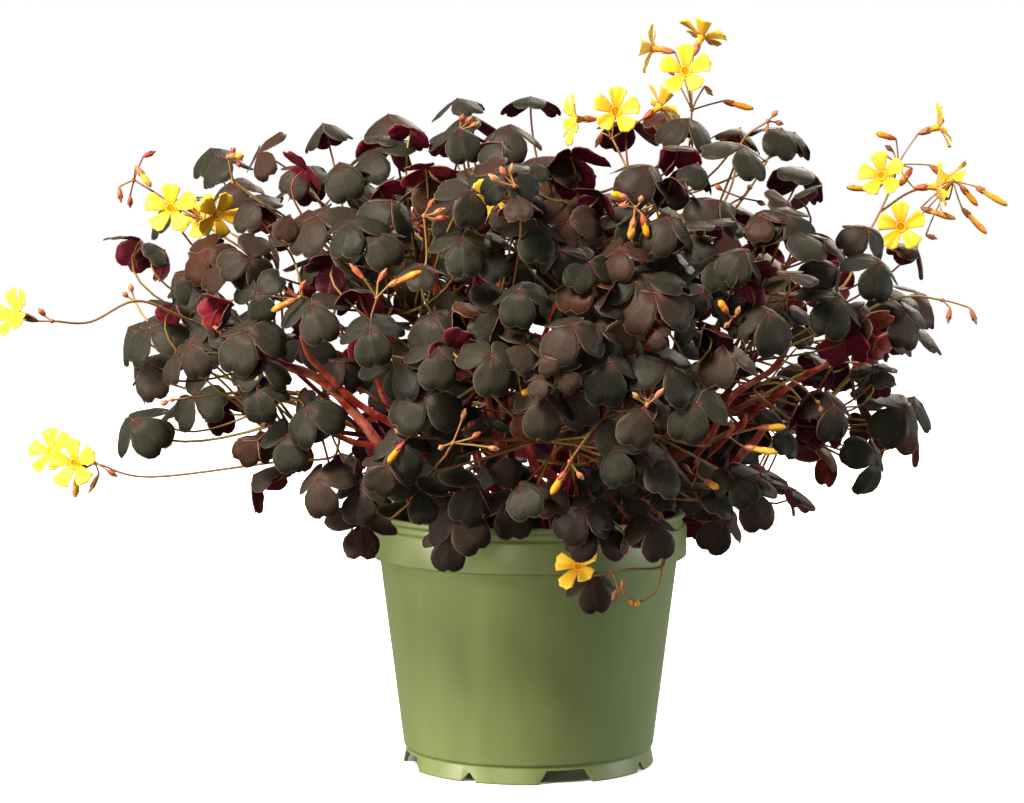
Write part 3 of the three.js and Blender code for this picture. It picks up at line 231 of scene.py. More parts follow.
# Sprays of the model: depths of the foot and of the head, places of the stalk in the front view, and each end
# as kind, foot across and down, mouth across and down, depth behind the head, and where they aren't nought,
# how much deeper the mouth is than the foot, and the stalk that carries it. One spray forks: after its ends
# come the number of the place where it does, and the places of its second stalk
SPRAYS = [
    ((-30, -12), [(684, 222), (688, 165), (692, 110)], [
        ("open", 688, 78, 685, 68, -4, -15), ("open", 675, 52, 658, 49, 8, 2),
        ("open", 693, 56, 701, 38, 12, 3), ("shut", 723, 101, 754, 109, 0, -2),
        ("bud", 674, 75, 667, 68, 4), ("bud", 705, 86, 713, 96, -6),
    ]),
    ((-40, -25), [(640, 215), (628, 172), (619, 152), (612, 138)], [
        ("open", 598, 119, 582, 119, -6, -2), ("open", 614, 119, 617, 108, -2, -15),
        ("open", 643, 119, 654, 111, 6, 2), ("bud", 602, 133, 595, 148, 2),
        ("bud", 628, 128, 636, 120, 5),
    ]),
    ((-20, 22), [(838, 290), (862, 245), (880, 212), (892, 185), (898, 165)], [
        ("open", 918, 134, 935, 128, 4), ("shut", 896, 139, 876, 133, -2),
        ("open", 888, 184, 882, 176, -6, -9), ("shut", 877, 190, 846, 187, -8, -3),
        ("shut", 912, 168, 900, 186, -6, -2), ("open", 914, 188, 929, 187, -17),
        ("open", 930, 165, 947, 178, 17, 1), ("open", 904, 232, 900, 225, -20, -15, 1),
        ("bud", 893, 151, 885, 145, 2), ("bud", 884, 154, 876, 156, -3),
        ("shut", 921, 208, 956, 219, -9, -3, 1), ("shut", 960, 185, 978, 206, 4, 0, 1),
        ("shut", 975, 186, 1008, 206, -4, -2, 1), ("shut", 962, 208, 987, 234, -8, -3, 1),
        ("bud", 949, 199, 937, 197, 6, 0, 1), ("bud", 926, 235, 938, 239, -6, 0, 1),
    ], 2, [(908, 193), (935, 185), (953, 181)]),
    ((-90, -70), [(845, 322), (880, 304), (912, 296), (942, 300)], [
        ("bud", 950, 308, 948, 324, -2), ("bud", 970, 308, 977, 325, 2),
    ]),
    ((-60, -40), [(262, 268), (200, 222), (160, 196), (134, 180)], [
        ("bud", 143, 157, 156, 151, 3), ("bud", 119, 187, 121, 203, -3),
        ("shut", 136, 166, 151, 187, -6, -2), ("bud", 130, 196, 130, 208, 5),
    ]),
    ((-80, -62), [(275, 262), (236, 236), (205, 220)], [
        ("open", 178, 213, 170, 208, -8, -12), ("open", 186, 205, 195, 212, 6, 8),
        ("open", 206, 209, 217, 215, -10, -9), ("bud", 222, 205, 232, 199, 4),
    ]),
    ((-92, -138), [(180, 316), (135, 301), (90, 322), (52, 321)], [
        ("open", 37, 321, 23, 316, 0, -4), ("bud", 45, 316, 38, 308, 4),
    ]),
    ((-70, -66), [(330, 458), (278, 462), (150, 477), (95, 463)], [
        ("open", 66, 460, 55, 454, 4, -6), ("open", 86, 467, 76, 464, -6, -9),
        ("shut", 77, 474, 75, 498, -2), ("bud", 99, 474, 88, 494, 3), ("bud", 107, 470, 118, 477, -3),
    ]),
    ((-140, -158), [(374, 352), (370, 325), (377, 298)], [
        ("shut", 388, 286, 422, 271, -3, -2), ("bud", 365, 280, 349, 263, -2),
        ("bud", 378, 282, 387, 268, 2),
    ]),
    ((-138, -150), [(425, 300), (427, 255), (424, 216)], [
        ("bud", 433, 214, 446, 208, 0), ("bud", 434, 219, 450, 217, -4), ("bud", 428, 208, 435, 198, 3),
    ]),
    ((-120, -132), [(528, 226), (517, 203), (511, 189)], [
        ("open", 506, 187, 495, 198, -3, -7), ("bud", 512, 180, 519, 171, 3),
    ]),
    ((-152, -164), [(607, 408), (586, 438), (570, 461)], [
        ("shut", 565, 471, 551, 495, -3, -3), ("bud", 577, 472, 584, 480, 1),
    ]),
    ((-120, -132), [(700, 446), (714, 440), (728, 436)], [
        ("shut", 757, 428, 786, 427, -2, -2), ("shut", 744, 447, 778, 453, -5, -3),
        ("bud", 744, 427, 746, 413, 4), ("bud", 733, 430, 730, 419, 2),
    ]),
    ((-100, -98), [(655, 505), (664, 548), (661, 567), (630, 569), (612, 572)], [
        ("open", 592, 576, 580, 566, -8, -7), ("bud", 618, 589, 612, 600, -4),
    ]),
    ((60, 132), [(470, 252), (455, 226), (448, 204)], [
        ("open", 440, 196, 430, 188, 4, 10), ("open", 458, 196, 468, 190, 8, 9),
        ("bud", 450, 193, 452, 182, 8),
    ]),
    ((90, 148), [(640, 300), (655, 276), (664, 252)], [
        ("open", 668, 240, 674, 230, 10, 11), ("shut", 655, 241, 640, 232, 4, 4),
        ("bud", 672, 248, 684, 244, 3),
    ]),
]

# Small sprays that the model leaves out, in the same form
EXTRA_SPRAYS = [
    ((-100, -110), [(245, 190), (234, 182), (228, 157)], [
        ("shut", 228, 156, 244, 156, -1), ("bud", 236, 163, 243, 166, 0), ("bud", 231, 153, 235, 147, 1),
    ]),
    ((-110, -140), [(330, 330), (312, 302), (300, 297)], [
        ("shut", 296, 299, 271, 311, -2, -2), ("bud", 300, 290, 306, 280, 0),
    ]),
    ((-140, -160), [(623, 353), (637, 362), (647, 405)], [
        ("bud", 655, 398, 664, 388, -2), ("bud", 640, 400, 632, 392, -1), ("bud", 652, 392, 655, 378, 2),
    ]),
    ((-130, -150), [(470, 440), (445, 439), (410, 436)], [
        ("shut", 404, 442, 388, 463, -2, -2), ("bud", 402, 434, 394, 428, 0),
    ]),
    ((-140, -158), [(440, 470), (446, 455), (453, 443)], [
        ("bud", 462, 420, 466, 408, 0), ("bud", 472, 438, 481, 432, -2), ("bud", 488, 447, 500, 450, -2),
        ("bud", 444, 446, 438, 449, 1),
    ]),
    ((-70, -60), [(170, 340), (145, 318), (135, 301)], [
        ("bud", 132, 292, 130, 283, 0), ("bud", 128, 297, 122, 292, 1),
    ]),
    ((-60, -80), [(470, 180), (462, 150), (459, 130)], [
        ("bud", 466, 124, 472, 116, 0), ("bud", 470, 127, 480, 122, -2), ("bud", 461, 122, 463, 114, 2),
    ]),
    ((-40, -40), [(730, 190), (742, 142), (768, 121)], [
        ("bud", 775, 122, 784, 124, 0), ("bud", 772, 117, 778, 110, -2), ("bud", 768, 126, 766, 134, 1),
    ]),
    ((-60, -60), [(722, 222), (730, 205), (742, 198)], [
        ("bud", 722, 190, 715, 185, 0), ("bud", 757, 201, 766, 205, -2), ("bud", 748, 190, 752, 184, 1),
    ]),
    ((-130, -140), [(656, 293), (645, 270), (632, 240), (635, 208)], [
        ("shut", 628, 199, 611, 193, -2, -1), ("shut", 634, 217, 630, 240, -4, -1),
        ("shut", 642, 214, 648, 238, -2, -1), ("bud", 628, 206, 618, 205, -3),
        ("bud", 640, 203, 642, 195, 1),
    ]),
    ((-124, -164), [(575, 228), (567, 205), (552, 200), (530, 190), (515, 186)], [
        ("bud", 505, 176, 500, 166, 0), ("bud", 511, 175, 512, 163, 2), ("bud", 500, 182, 488, 174, -1),
    ]),
    ((-120, -140), [(745, 350), (738, 330), (732, 318)], [
        ("shut", 728, 314, 719, 300, -2, -1), ("bud", 736, 316, 740, 306, 0),
        ("bud", 730, 322, 724, 328, -2),
    ]),
    ((-140, -156), [(620, 396), (600, 390), (560, 385), (544, 389)], [
        ("shut", 538, 390, 521, 393, -2, -1), ("bud", 540, 384, 534, 378, 1),
    ]),
    ((-110, -130), [(690, 500), (692, 488), (697, 476)], [
        ("bud", 697, 468, 696, 458, 0), ("bud", 690, 472, 682, 463, -1),
        ("shut", 704, 480, 719, 489, -2, -1),
    ]),
    ((40, 60), [(820, 400), (845, 385), (862, 372)], [
        ("shut", 864, 364, 870, 351, 1), ("shut", 868, 376, 868, 386, 2),
    ]),
    ((-120, -130), [(270, 400), (262, 390), (258, 386)], [("bud", 257, 384, 258, 376, 0)]),
    ((-96, -94), [(652, 505), (662, 545), (662, 568), (656, 590), (643, 601), (631, 601)], [
        ("shut", 630, 602, 640, 604, -1), ("bud", 624, 593, 622, 579, -2),
    ]),
    ((-70, -104), [(533, 460), (575, 465), (606, 456)], [("bud", 612, 453, 620, 447, 0)]),
    ((-80, -120), [(640, 455), (656, 441), (667, 434)], [("bud", 670, 431, 676, 424, 0)]),
    ((-70, -90), [(612, 470), (627, 488), (638, 514)], [("bud", 639, 518, 642, 527, 0)]),
    ((-76, -80), [(606, 512), (645, 505), (684, 497)], [("bud", 689, 496, 698, 493, 0)]),
    ((-90, -120), [(422, 448), (447, 439), (465, 429)], [("bud", 468, 427, 474, 421, 0)]),
    ((-70, -118), [(756, 384), (778, 377), (798, 384), (818, 402)], [("bud", 820, 406, 823, 415, 0)]),
    ((-70, -112), [(754, 390), (776, 383), (793, 391), (806, 409)], [("bud", 808, 413, 810, 422, 0)]),
    ((-60, -92), [(300, 400), (250, 392), (200, 397), (172, 400)], [("bud", 168, 401, 160, 405, 0)]),
]

# A leaflet's finer form: half its outer arc from the notch over the lobe to the widest place, as shares of
# its length, then where its blade starts, how round its midrib is, how thick it is and how its rows bow out
LEAFLET_ARC = [(0.89, 0), (0.955, 0.09), (0.955, 0.24), (0.83, 0.395), (0.57, 0.465)]
LEAFLET_START, LEAFLET_RIDGE, LEAF_THICKNESS, BLADE_BOW = 0.035, 0.16, 0.42, 2.2
LEAFLET_SWAY, EDGE_THINNING, WAVE_PITCH = 14.0, 0.4, 2.4 * np.pi
WAVE_RANGES = {"phase": (0, 6.3), "swing": (0.1, 0.5), "cup": (-0.5, 0.9)}
MODEL_GRID, FREE_GRID = (10, 3), (8, 3)

# Tones of the leaves, from 0 for green-grey to 1 for brown; the orange-brown top of the range is partly
# painted glow of backlit leaves
FRONT_TONE, FREE_TONE, YOUNG_TONE, TONE_SPREAD = 0.72, 1.6, 0.84, 0.06
LOW_LEAVES, LOW_TONES = 140.0, (0.55, 0.3)

# Leaf stalks, stems and flower stalks: the swelling under a leaf's hub as depths and radii, then the tubes
HUB_ROWS = [(-0.3, 0.15), (-0.15, 0.4), (0.3, 0.56), (1.2, 0.54), (2.2, 0.5)]
STALK_RADIUS, STALK_ROWS, STALK_FLARE, PEDUNCLE_RADIUS = 0.58, 9, 1.5, 0.6
STEM_ROWS, SHOOT_ROWS, SEEN_ROWS, FOOT_ROWS = 33, 17, 60, 3
STALK_SIDES, STEM_SIDES, SEEN_SIDES, PEDUNCLE_SIDES, PEDICEL_SIDES = 6, 12, 10, 7, 6
FOOT_SWELL, FOOT_SWELL_REACH, KNOTS, KNOT, KNOT_WIDTH = 0.3, 2.5, 6, 0.16, 0.12

# The leaves that the front view shows beyond the model's: first seed, further depth, size and own values
SEEN_KINDS = [
    (INNER_LEAVES, 1000, 0.0, 1.0, {}),
    (TURNED_LEAVES, 1250, 8.0, 0.86, {}),
    (YOUNG_LEAVES, 1500, 0.0, 0.58, {"tone": YOUNG_TONE}),
]

# Leaves spread by rule, first through the mound, and more in its front half for the first tries, then under
# its crown; towards the thin side on the left they stand further apart
FURTHER_SEED, FURTHER_TRIES, FRONT_TRIES, FURTHER_SWAY = 2000, 760, 520, 70.0
FURTHER_SHARES = (0.8191725133961645, 0.6710436067037893, 0.5497004779019703)
FRONT_LEAF_INSET, BACK_LEAF_INSET, FURTHER_DEPTH, DEPTH_POWER, LEAST_REACH = 60.0, 4.0, 75.0, 1.4, 12.0
FURTHER_SPACING, BACK_SPACING, THIN_SPACING, THIN_SIDE, SKYLINE_DROP = 22.0, 18.0, 30.0, -90.0, 10.0
CROWN_SEED, CROWN_TRIES, CROWN_REACH, CROWN_HEIGHTS, CROWN_TILT = 3000, 150, 112.0, (240.0, 288.0), 14.0

# Feet of the further leaves' stalks: where they may stand on a line, and what the choice weighs
PERCH_PLACES = np.linspace(0.3, 1.0, 29)
FURTHER_STALK, PERCH_COST, OTHER_STEM_COST, PERCH_LIFT = 36.0, 9.0, 1000, 0.1

# How the model's own leaves are found again: how near its surface the first point of a leaf's rim has to be,
# how near the others and how many of them, and the places on a stalk's bend that are looked at
FIRST_MATCH, RIM_MATCH, RIM_SHARE = 0.3, 0.2, 0.7
BEND_CHECKS = [0.12, 0.5, 1]

# Material slots of a leafy stem, and of a spray
TOP_SLOT, UNDER_SLOT, EDGE_SLOT, STALK_SLOT, STEM_SLOT, HUB_SLOT = range(6)
PEDUNCLE_SLOT, CALYX_SLOT, BUD_SLOT, ROLLED_SLOT = range(4)

# Flowers: a form's rings as heights and radii; a shut flower's and a bud's heights are shares of its length
TUBE_RINGS = (
    [-2.2, 0, 2.5, 4.6, 6.1, 6.0, 4.6, 2.8, 2.2],
    [0.8, TUBE_RADIUS, 1.45, 1.95, 2.5, 2.15, 1.65, 1.2, 0.2],
)
SHUT_RINGS = [0.08, 0.25, 0.42, 0.6, 0.76, 0.88, 0.96, 1.0], [0.6, 1.15, 1.3, 1.55, 1.65, 1.3, 0.75, 0.2]
BUD_RINGS = [0.08, 0.3, 0.5, 0.7, 0.86, 0.96, 1.0], [0.5, 0.95, 1.12, 0.95, 0.6, 0.28, 0.08]
NODE_RINGS = [0, 0.7, 1.3, 1.9, 2.4], [0.45, 0.9, 1.05, 0.9, 0.4]

# Flower stalks, and calyxes, whose lengths are shares of the model's calyx or of the flower or bud in them
PEDICEL_RADII = [0.5, 0.42, 0.4, 0.4, 0.4, 0.42, 0.5, 0.6]
PEDICEL_STEPS, PEDICEL_SAG, PEDICEL_SINK, RUN_STEPS, RUN_TAPER, NODE_SINK = 7, 0.06, 0.4, 6, (1.15, 0.8), 1.2
CALYX_RADII = {"open": 1.75, "shut": 1.55, "bud": 1.3}
OPEN_CALYX, SHUT_CALYX, SHUT_CALYX_LIMIT, BUD_CALYX = 1.35, 0.5, 5.5, 0.72
CALYX_SCALLOP, ROLLED_SCALLOP = 0.42, 0.06

# Petals: rows from the tube and columns across, and what differs from one to the next
PETALS, PETAL_ROWS, PETAL_COLUMNS, PETAL_THICKNESS, PETAL_START = 5, 8, 9, 0.32, 1.9
PETAL_RANGES = {
    "droop": (-1.6, 0.6),
    "cup": (0.2, 1.2),
    "twist": (-0.9, 0.9),
    "ruffle": (0.15, 0.55),
    "phase": (0, 6.3),
    "length": (0.9, 1.04),
}

# Light of the studio: what lights the plant, what glossy skins mirror, and what the camera sees
SKY_LIGHT, GLOSS_LIGHT, WHITE_LIGHT = (0.04, 0.037, 0.034, 1), (0.36, 0.35, 0.33, 1), (1, 1, 1, 1)
BOARD_GLOW, FLOOR_HALF, FLOOR_POINTS, FLOOR_DROP = 0.9, 4000, 9, 0.05


# Numbers, places and curves


def stream(seed):
    """Numbers from 0 to 1 that are the same for the same seed, drawn as in the model"""
    state = seed & MASK

    def draw():
        """The next number"""
        nonlocal state
        state = (state + 0x6D2B79F5) & MASK
        mixed = ((state ^ (state >> 15)) * (state | 1)) & MASK
        mixed ^= (mixed + (((mixed ^ (mixed >> 7)) * (mixed | 61)) & MASK)) & MASK
        return ((mixed ^ (mixed >> 14)) & MASK) / (MASK + 1)

    return draw


def along(rows, x):
    """The value at x of a line drawn through the rows of a table"""
    return float(np.interp(x, [row[0] for row in rows], [row[1] for row in rows]))


def unit(ways):
    """Directions made one long"""
    return ways / np.linalg.norm(ways, axis=-1, keepdims=True)


def seen(across, down, y):
    """The point at depth y that a pixel of the front view shows"""
    tilt = math.radians(EYE_TILT)
    right = (across - EYE_CENTRE[0]) / EYE_FOCAL
    rise = (EYE_CENTRE[1] - down) / EYE_FOCAL
    forward = math.cos(tilt) + rise * math.sin(tilt)
    climb = rise * math.cos(tilt) - math.sin(tilt)
    reach = (y - EYE[1]) / forward
    return np.array([EYE[0] + right * reach, y, EYE[2] + climb * reach])


def mound_point(across, down, back):
    """The point of the mound's skin that a pixel of the front view shows, moved back by a depth"""
    y = -100.0
    for _ in range(8):
        here = seen(across, down, y)
        half = along(MOUND_PROFILE, here[2])
        front = -along(MOUND_DEPTH, here[2]) * math.sqrt(max(0.0, half * half - here[0] * here[0]))
        y = (y + front + back) / 2
    return seen(across, down, y)


def mound_reach(turn, climb, share):
    """The point of an ellipsoid in a direction from the mound's centre, as a share of the way out"""
    turn, climb = math.radians(turn), math.radians(climb)
    way = np.array([math.cos(turn) * math.cos(climb), math.sin(turn) * math.cos(climb), math.sin(climb)])
    deep = MOUND_HALF_WIDTH * along(MOUND_DEPTH, MOUND_TOP)
    sizes = np.array([MOUND_HALF_WIDTH, deep, MOUND_TOP - MOUND_CENTRE_HEIGHT])
    return way * share / np.linalg.norm(way / sizes) + MOUND_CENTRE_HEIGHT * UP


def bend(p0, p1, p2, t):
    """Points at t on a bend with one control point: each end weighs by its share squared"""
    t = np.asarray(t, float)[..., None]
    return p0 * (1 - t) ** 2 + 2 * p1 * t * (1 - t) + p2 * t**2


def through(points, steps):
    """A smooth curve through all the points: cubic spans whose slope at a point is half of the way from the
    point before it to the point after it"""
    p = np.asarray(points, float)
    p = np.concatenate([2 * p[:1] - p[1:2], p, 2 * p[-1:] - p[-2:-1]])
    t = np.arange(steps)[:, None] / steps
    a, b, c, d = (p[i : len(p) - 3 + i, None] for i in range(4))
    spans = b + 0.5 * t * (c - a + t * (2 * a - 5 * b + 4 * c - d + t * (3 * (b - c) + d - a)))
    return np.concatenate([spans.reshape(-1, p.shape[1]), p[-2:-1]])


def tubes(paths, radii, sides):
    """Rings of points for tubes: a circle carried along each path and turned as little as can be"""
    ways = unit(np.gradient(paths, axis=1))
    angles = 2 * np.pi * np.arange(sides) / sides
    side = np.cross(ways[:, 0], TUBE_SIDE)
    rows = []
    for i in range(paths.shape[1]):
        way = ways[:, i]
        side = unit(side - way * np.sum(side * way, axis=-1, keepdims=True))
        over = np.cross(way, side)
        circle = side[:, None] * np.cos(angles)[:, None] + over[:, None] * np.sin(angles)[:, None]
        rows.append(paths[:, i, None] + radii[:, i, None, None] * circle)
    return np.stack(rows, axis=1)


def grid_faces(rows, columns, wrap=False):
    """The quads between the points of a grid, closed from the last column to the first where it wraps"""
    points = np.arange(rows * columns).reshape(rows, columns)
    right = np.roll(points, -1, axis=1)
    quads = np.stack([points[:-1], right[:-1], right[1:], points[1:]], axis=-1)
    return (quads if wrap else quads[:, :-1]).reshape(-1, 4)


def skin_faces(rows, columns, top, under, edge):
    """The faces of a thin skin in their slots: the grid of its upper face, the same grid of its lower face,
    whose points follow, and the quads between the two round their edge"""
    size = rows * columns
    quads = grid_faces(rows, columns)
    places = np.arange(size).reshape(rows, columns)
    loop = np.concatenate([places[0], places[1:, -1], places[-1, -2::-1], places[-2:0:-1, 0]])
    onward = np.roll(loop, -1)
    wall = np.stack([loop, onward, onward + size, loop + size], axis=-1)
    return [(quads[:, ::-1], top, True), (quads + size, under, True), (wall, edge, False)]


class Growth:
    """Surfaces that grow together into one mesh"""

    def __init__(self):
        """Start with no surface"""
        self.points, self.faces, self.slots, self.smooth, self.uvs, self.tones = [], [], [], [], [], []
        self.count = 0

    def add(self, points, groups, uvs, tones=0.5):
        """Add copies of one surface: points of shape (copies, points, 3), and for all copies alike, groups of
        faces, each with its material slot and whether it is shaded smooth, and a map"""
        copies, size = points.shape[:2]
        starts = self.count + size * np.arange(copies)[:, None, None]
        for faces, slot, smooth in groups:
            self.faces.extend((starts + faces).reshape(-1, faces.shape[1]).tolist())
            self.slots.extend([slot] * (copies * len(faces)))
            self.smooth.extend([smooth] * (copies * len(faces)))
        self.points.append(points.reshape(-1, 3))
        self.uvs.append(np.broadcast_to(uvs, (copies, size, 2)).reshape(-1, 2))
        self.tones.append(np.broadcast_to(np.reshape(tones, (-1, 1)), (copies, size)).ravel())
        self.count += copies * size

    def add_rings(self, points, slot, tones=0.5, head=(0, 0)):
        """Add closed forms of rings, points of shape (copies, rings, points round, 3), with u round each form
        and v along it; its head is how many of its first rows of faces are in another slot, and which"""
        copies, rows, columns = points.shape[:3]
        ring = np.arange(columns)[None]
        quads, split = grid_faces(rows, columns, True), head[0] * columns
        groups = [
            (quads[split:], slot, True), (quads[:split], head[1], True),
            (ring[:, ::-1], head[1] if split else slot, False), ((rows - 1) * columns + ring, slot, False),
        ]
        u, v = np.meshgrid(np.arange(columns) / columns, np.arange(rows) / (rows - 1))
        uvs = np.stack([u.ravel(), v.ravel()], axis=-1)
        self.add(points.reshape(copies, -1, 3), [group for group in groups if len(group[0])], uvs, tones)

    def piece(self, name, slot, finishes, *replaced):
        """Put the surfaces into one object in metres, at the origin, that rides on the plant's one body"""
        mesh = bpy.data.meshes.new(name)
        mesh.from_pydata(np.concatenate(self.points) * MM, [], self.faces)
        mesh.polygons.foreach_set("material_index", self.slots)
        mesh.polygons.foreach_set("use_smooth", self.smooth)
        corners = np.empty(len(mesh.loops), np.int32)
        mesh.loops.foreach_get("vertex_index", corners)
        mesh.uv_layers.new(name="UVMap").data.foreach_set("uv", np.concatenate(self.uvs)[corners].ravel())
        mesh.attributes.new("tone", "FLOAT", "POINT").data.foreach_set("value", np.concatenate(self.tones))
        for finish in finishes:
            mesh.materials.append(finish)
        mesh.update()
        made = bpy.data.objects.new(name, mesh)
        bpy.context.collection.objects.link(made)
        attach(made, "root")
        if replaced:
            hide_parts(*replaced)
        return made


# Materials


def linear(code):
    """An sRGB hex colour in the linear light that a shader reads"""
    parts = [int(code[i : i + 2], 16) / 255 for i in (1, 3, 5)]
    return [*(p / 12.92 if p <= 0.04045 else ((p + 0.055) / 1.055) ** 2.4 for p in parts), 1.0]


def add(finish, kind, sockets=None, ramp=(), **settings):
    """Add a shader node with its settings, the values or links of its sockets and the stops of its ramp, and
    give its outputs"""
    made = finish.node_tree.nodes.new("ShaderNode" + kind)
    for key, value in settings.items():
        setattr(made, key, value)
    for key, value in (sockets or {}).items():
        if isinstance(value, bpy.types.NodeSocket):
            finish.node_tree.links.new(value, made.inputs[key])
        else:
            made.inputs[key].default_value = value
    for i, (place, code) in enumerate(ramp):
        stop = made.color_ramp.elements[i] if i < 2 else made.color_ramp.elements.new(place)
        stop.position, stop.color = place, linear(code)
    return made.outputs


def start_finish(name, **constants):
    """A new material with its shader's constant sockets set"""
    finish = bpy.data.materials.new(name)
    finish.use_nodes = True
    shader = finish.node_tree.nodes["Principled BSDF"]
    for key, value in constants.items():
        shader.inputs[key.replace("_", " ")].default_value = value
    return finish, shader


def end_finish(finish, shader, colour, bump=None, roughness=None):
    """Link colour, height and roughness to the shader"""
    links = finish.node_tree.links
    links.new(colour, shader.inputs["Base Color"])
    if roughness is not None:
        links.new(roughness, shader.inputs["Roughness"])
    if bump is not None:
        height, depth = bump
        dented = add(finish, "Bump", {"Height": height, "Strength": 1.0, "Distance": depth * MM})
        links.new(dented["Normal"], shader.inputs["Normal"])
    return finish


def leaf_finish(name, codes, rib_shade, foot_shade, rim_tint_and_highlight):
    """A leaf's face: its skin drifts with the leaf's tone and in patches of about 2.6 mm, with a grain of
    about 0.8 mm; ribs and side veins are a little raised and of their own shade, and so are the part next to
    the hub and the thin margin, whose paler shade is partly its own colour and partly a painted highlight
    where light catches the edge"""
    finish, shader = start_finish(name, Roughness=0.5, IOR=1.4, Specular_IOR_Level=0.15)
    tone = add(finish, "Attribute", attribute_name="tone")["Fac"]
    place = add(finish, "TexCoord")
    patches = {"Vector": place["Object"], "Scale": 380.0, "Detail": 6.0, "Roughness": 0.6}
    cells = add(finish, "TexNoise", patches)["Fac"]
    drift = add(finish, "Math", {0: cells, 1: 0.7, 2: -0.35}, operation="MULTIPLY_ADD")
    mixed = add(finish, "Math", {0: tone, 1: drift[0]}, operation="ADD")
    skin = add(finish, "ValToRGB", {"Fac": mixed[0]}, ramp=codes)
    grain = add(finish, "TexNoise", {"Vector": place["Object"], "Scale": 1300.0, "Detail": 3.0})["Fac"]
    light = add(finish, "MapRange", {0: grain, 1: 0.3, 2: 0.7, 3: 0.72, 4: 1.3})
    shade = add(finish, "VectorMath", {0: skin[0], 3: light[0]}, operation="SCALE")[0]
    veins, height, rim, foot = leaf_marks(finish, place["UV"])
    for share, code in ((veins, rib_shade), (foot, foot_shade), (rim, rim_tint_and_highlight)):
        shade = add(finish, "Mix", {0: share, 6: shade, 7: linear(code)}, data_type="RGBA")[2]
    return end_finish(finish, shader, shade, bump=(height, 0.03))


def leaf_marks(finish, uv):
    """Marks of a leaflet on its own map, u from margin to margin and v from the foot to the outer edge: how
    much a place belongs to the veins, how it is raised, and how much it belongs to the rim and to the foot.
    The side veins are crests of a sine that rises with v and falls back beside the rib, about 3 mm apart"""
    parts = add(finish, "SeparateXYZ", {0: uv})
    across = add(finish, "Math", {0: parts[0], 1: 2.0, 2: -1.0}, operation="MULTIPLY_ADD")[0]
    off = add(finish, "Math", {0: across}, operation="ABSOLUTE")[0]
    rib = add(finish, "MapRange", {0: off, 1: 0.015, 2: 0.06, 3: 1.0, 4: 0.0})[0]
    bow = add(finish, "Math", {0: off, 1: -0.45, 2: parts[1]}, operation="MULTIPLY_ADD")[0]
    wave = add(finish, "Math", {0: bow, 1: 40.0}, operation="MULTIPLY")[0]
    crest = add(finish, "Math", {0: wave}, operation="SINE")[0]
    side = add(finish, "MapRange", {0: crest, 1: 0.8, 2: 1.0, 3: 0.0, 4: 0.4})[0]
    both = add(finish, "Math", {0: rib, 1: side}, operation="MAXIMUM")[0]
    pale = add(finish, "Math", {0: both, 1: 0.35}, operation="MULTIPLY")[0]
    outmost = add(finish, "Math", {0: parts[1], 1: off}, operation="MAXIMUM")[0]
    # the rim: a thin pale margin, partly its own colour and partly a painted highlight where light catches
    # the edge
    rim = add(finish, "MapRange", {0: outmost, 1: 0.968, 2: 0.99, 3: 0.0, 4: 0.7})[0]
    near = add(finish, "MapRange", {0: parts[1], 1: 0.04, 2: 0.3, 3: 0.6, 4: 0.0})[0]
    inner = add(finish, "MapRange", {0: off, 1: 0.05, 2: 0.6, 3: 1.0, 4: 0.1})[0]
    foot = add(finish, "Math", {0: near, 1: inner}, operation="MULTIPLY")[0]
    return pale, both, rim, foot


def leaf_top_finish():
    """Oxalis leaf, upper face: a waxy dull skin over dark cells, which looks charcoal green-grey with a soft
    sheen and a thin pale rim, partly its own colour and partly a painted highlight where light catches the
    edge; older leaves go brown, and the orange-brown end of its colours is painted glow of backlit leaves"""
    return leaf_finish("oxalis leaf upper skin", [
        # the orange-brown stops at 0.92 and 1 are partly brown old leaves and partly painted glow of backlit
        # leaves
        (0.0, "#252820"), (0.3, "#2f2f27"), (0.58, "#342c26"), (0.8, "#38281f"), (0.92, "#3c2215"),
        (1.0, "#4a270f"),
    ], "#483836", "#64282c", "#786a5a")


def leaf_under_finish():
    """Oxalis leaf, under face: the same skin without green cells, which looks burgundy, with magenta and
    orange-brown that are painted glow of light passing through the leaf
    """
    return leaf_finish("oxalis leaf lower skin", [
        # the magenta and orange-brown stops are painted glow of light passing through the leaf; the dark
        # burgundy is its own colour
        (0.0, "#38101a"), (0.35, "#561424"), (0.62, "#7e1838"), (0.85, "#682018"), (1.0, "#843e1a"),
    ], "#9a4c5a", "#a04848", "#9a5a60")


def plain_finish(name, codes, grain, rough, bump=0.1, young=None, **constants):
    """Living skin of stalks, stems, calyces and leaf edges: a smooth skin with faint growth marks, whose
    grain is in millimetres, and whose colour drifts between the given ones with the piece's tone and from
    place to place; a young tip may have a shade of its own"""
    finish, shader = start_finish(name, Roughness=rough, IOR=1.4, Specular_IOR_Level=0.35, **constants)
    tone = add(finish, "Attribute", attribute_name="tone")["Fac"]
    place = add(finish, "TexCoord")["Object"]
    marks = add(finish, "TexNoise", {"Vector": place, "Scale": 1 / (grain * MM), "Detail": 4.0})
    drift = add(finish, "Math", {0: marks["Fac"], 1: 1.5, 2: -0.75}, operation="MULTIPLY_ADD")
    mixed = add(finish, "Math", {0: tone, 1: drift[0]}, operation="ADD")
    stops = [(i / (len(codes) - 1), code) for i, code in enumerate(codes)]
    skin = add(finish, "ValToRGB", {"Fac": mixed[0]}, ramp=stops)[0]
    if young:
        parts = add(finish, "SeparateXYZ", {0: add(finish, "TexCoord")["UV"]})
        tip = add(finish, "MapRange", {0: parts[1], 1: 0.7, 2: 1.0, 3: 0.0, 4: 0.6})[0]
        skin = add(finish, "Mix", {0: tip, 6: skin, 7: linear(young)}, data_type="RGBA")[2]
    return end_finish(finish, shader, skin, bump=(marks["Fac"], bump))


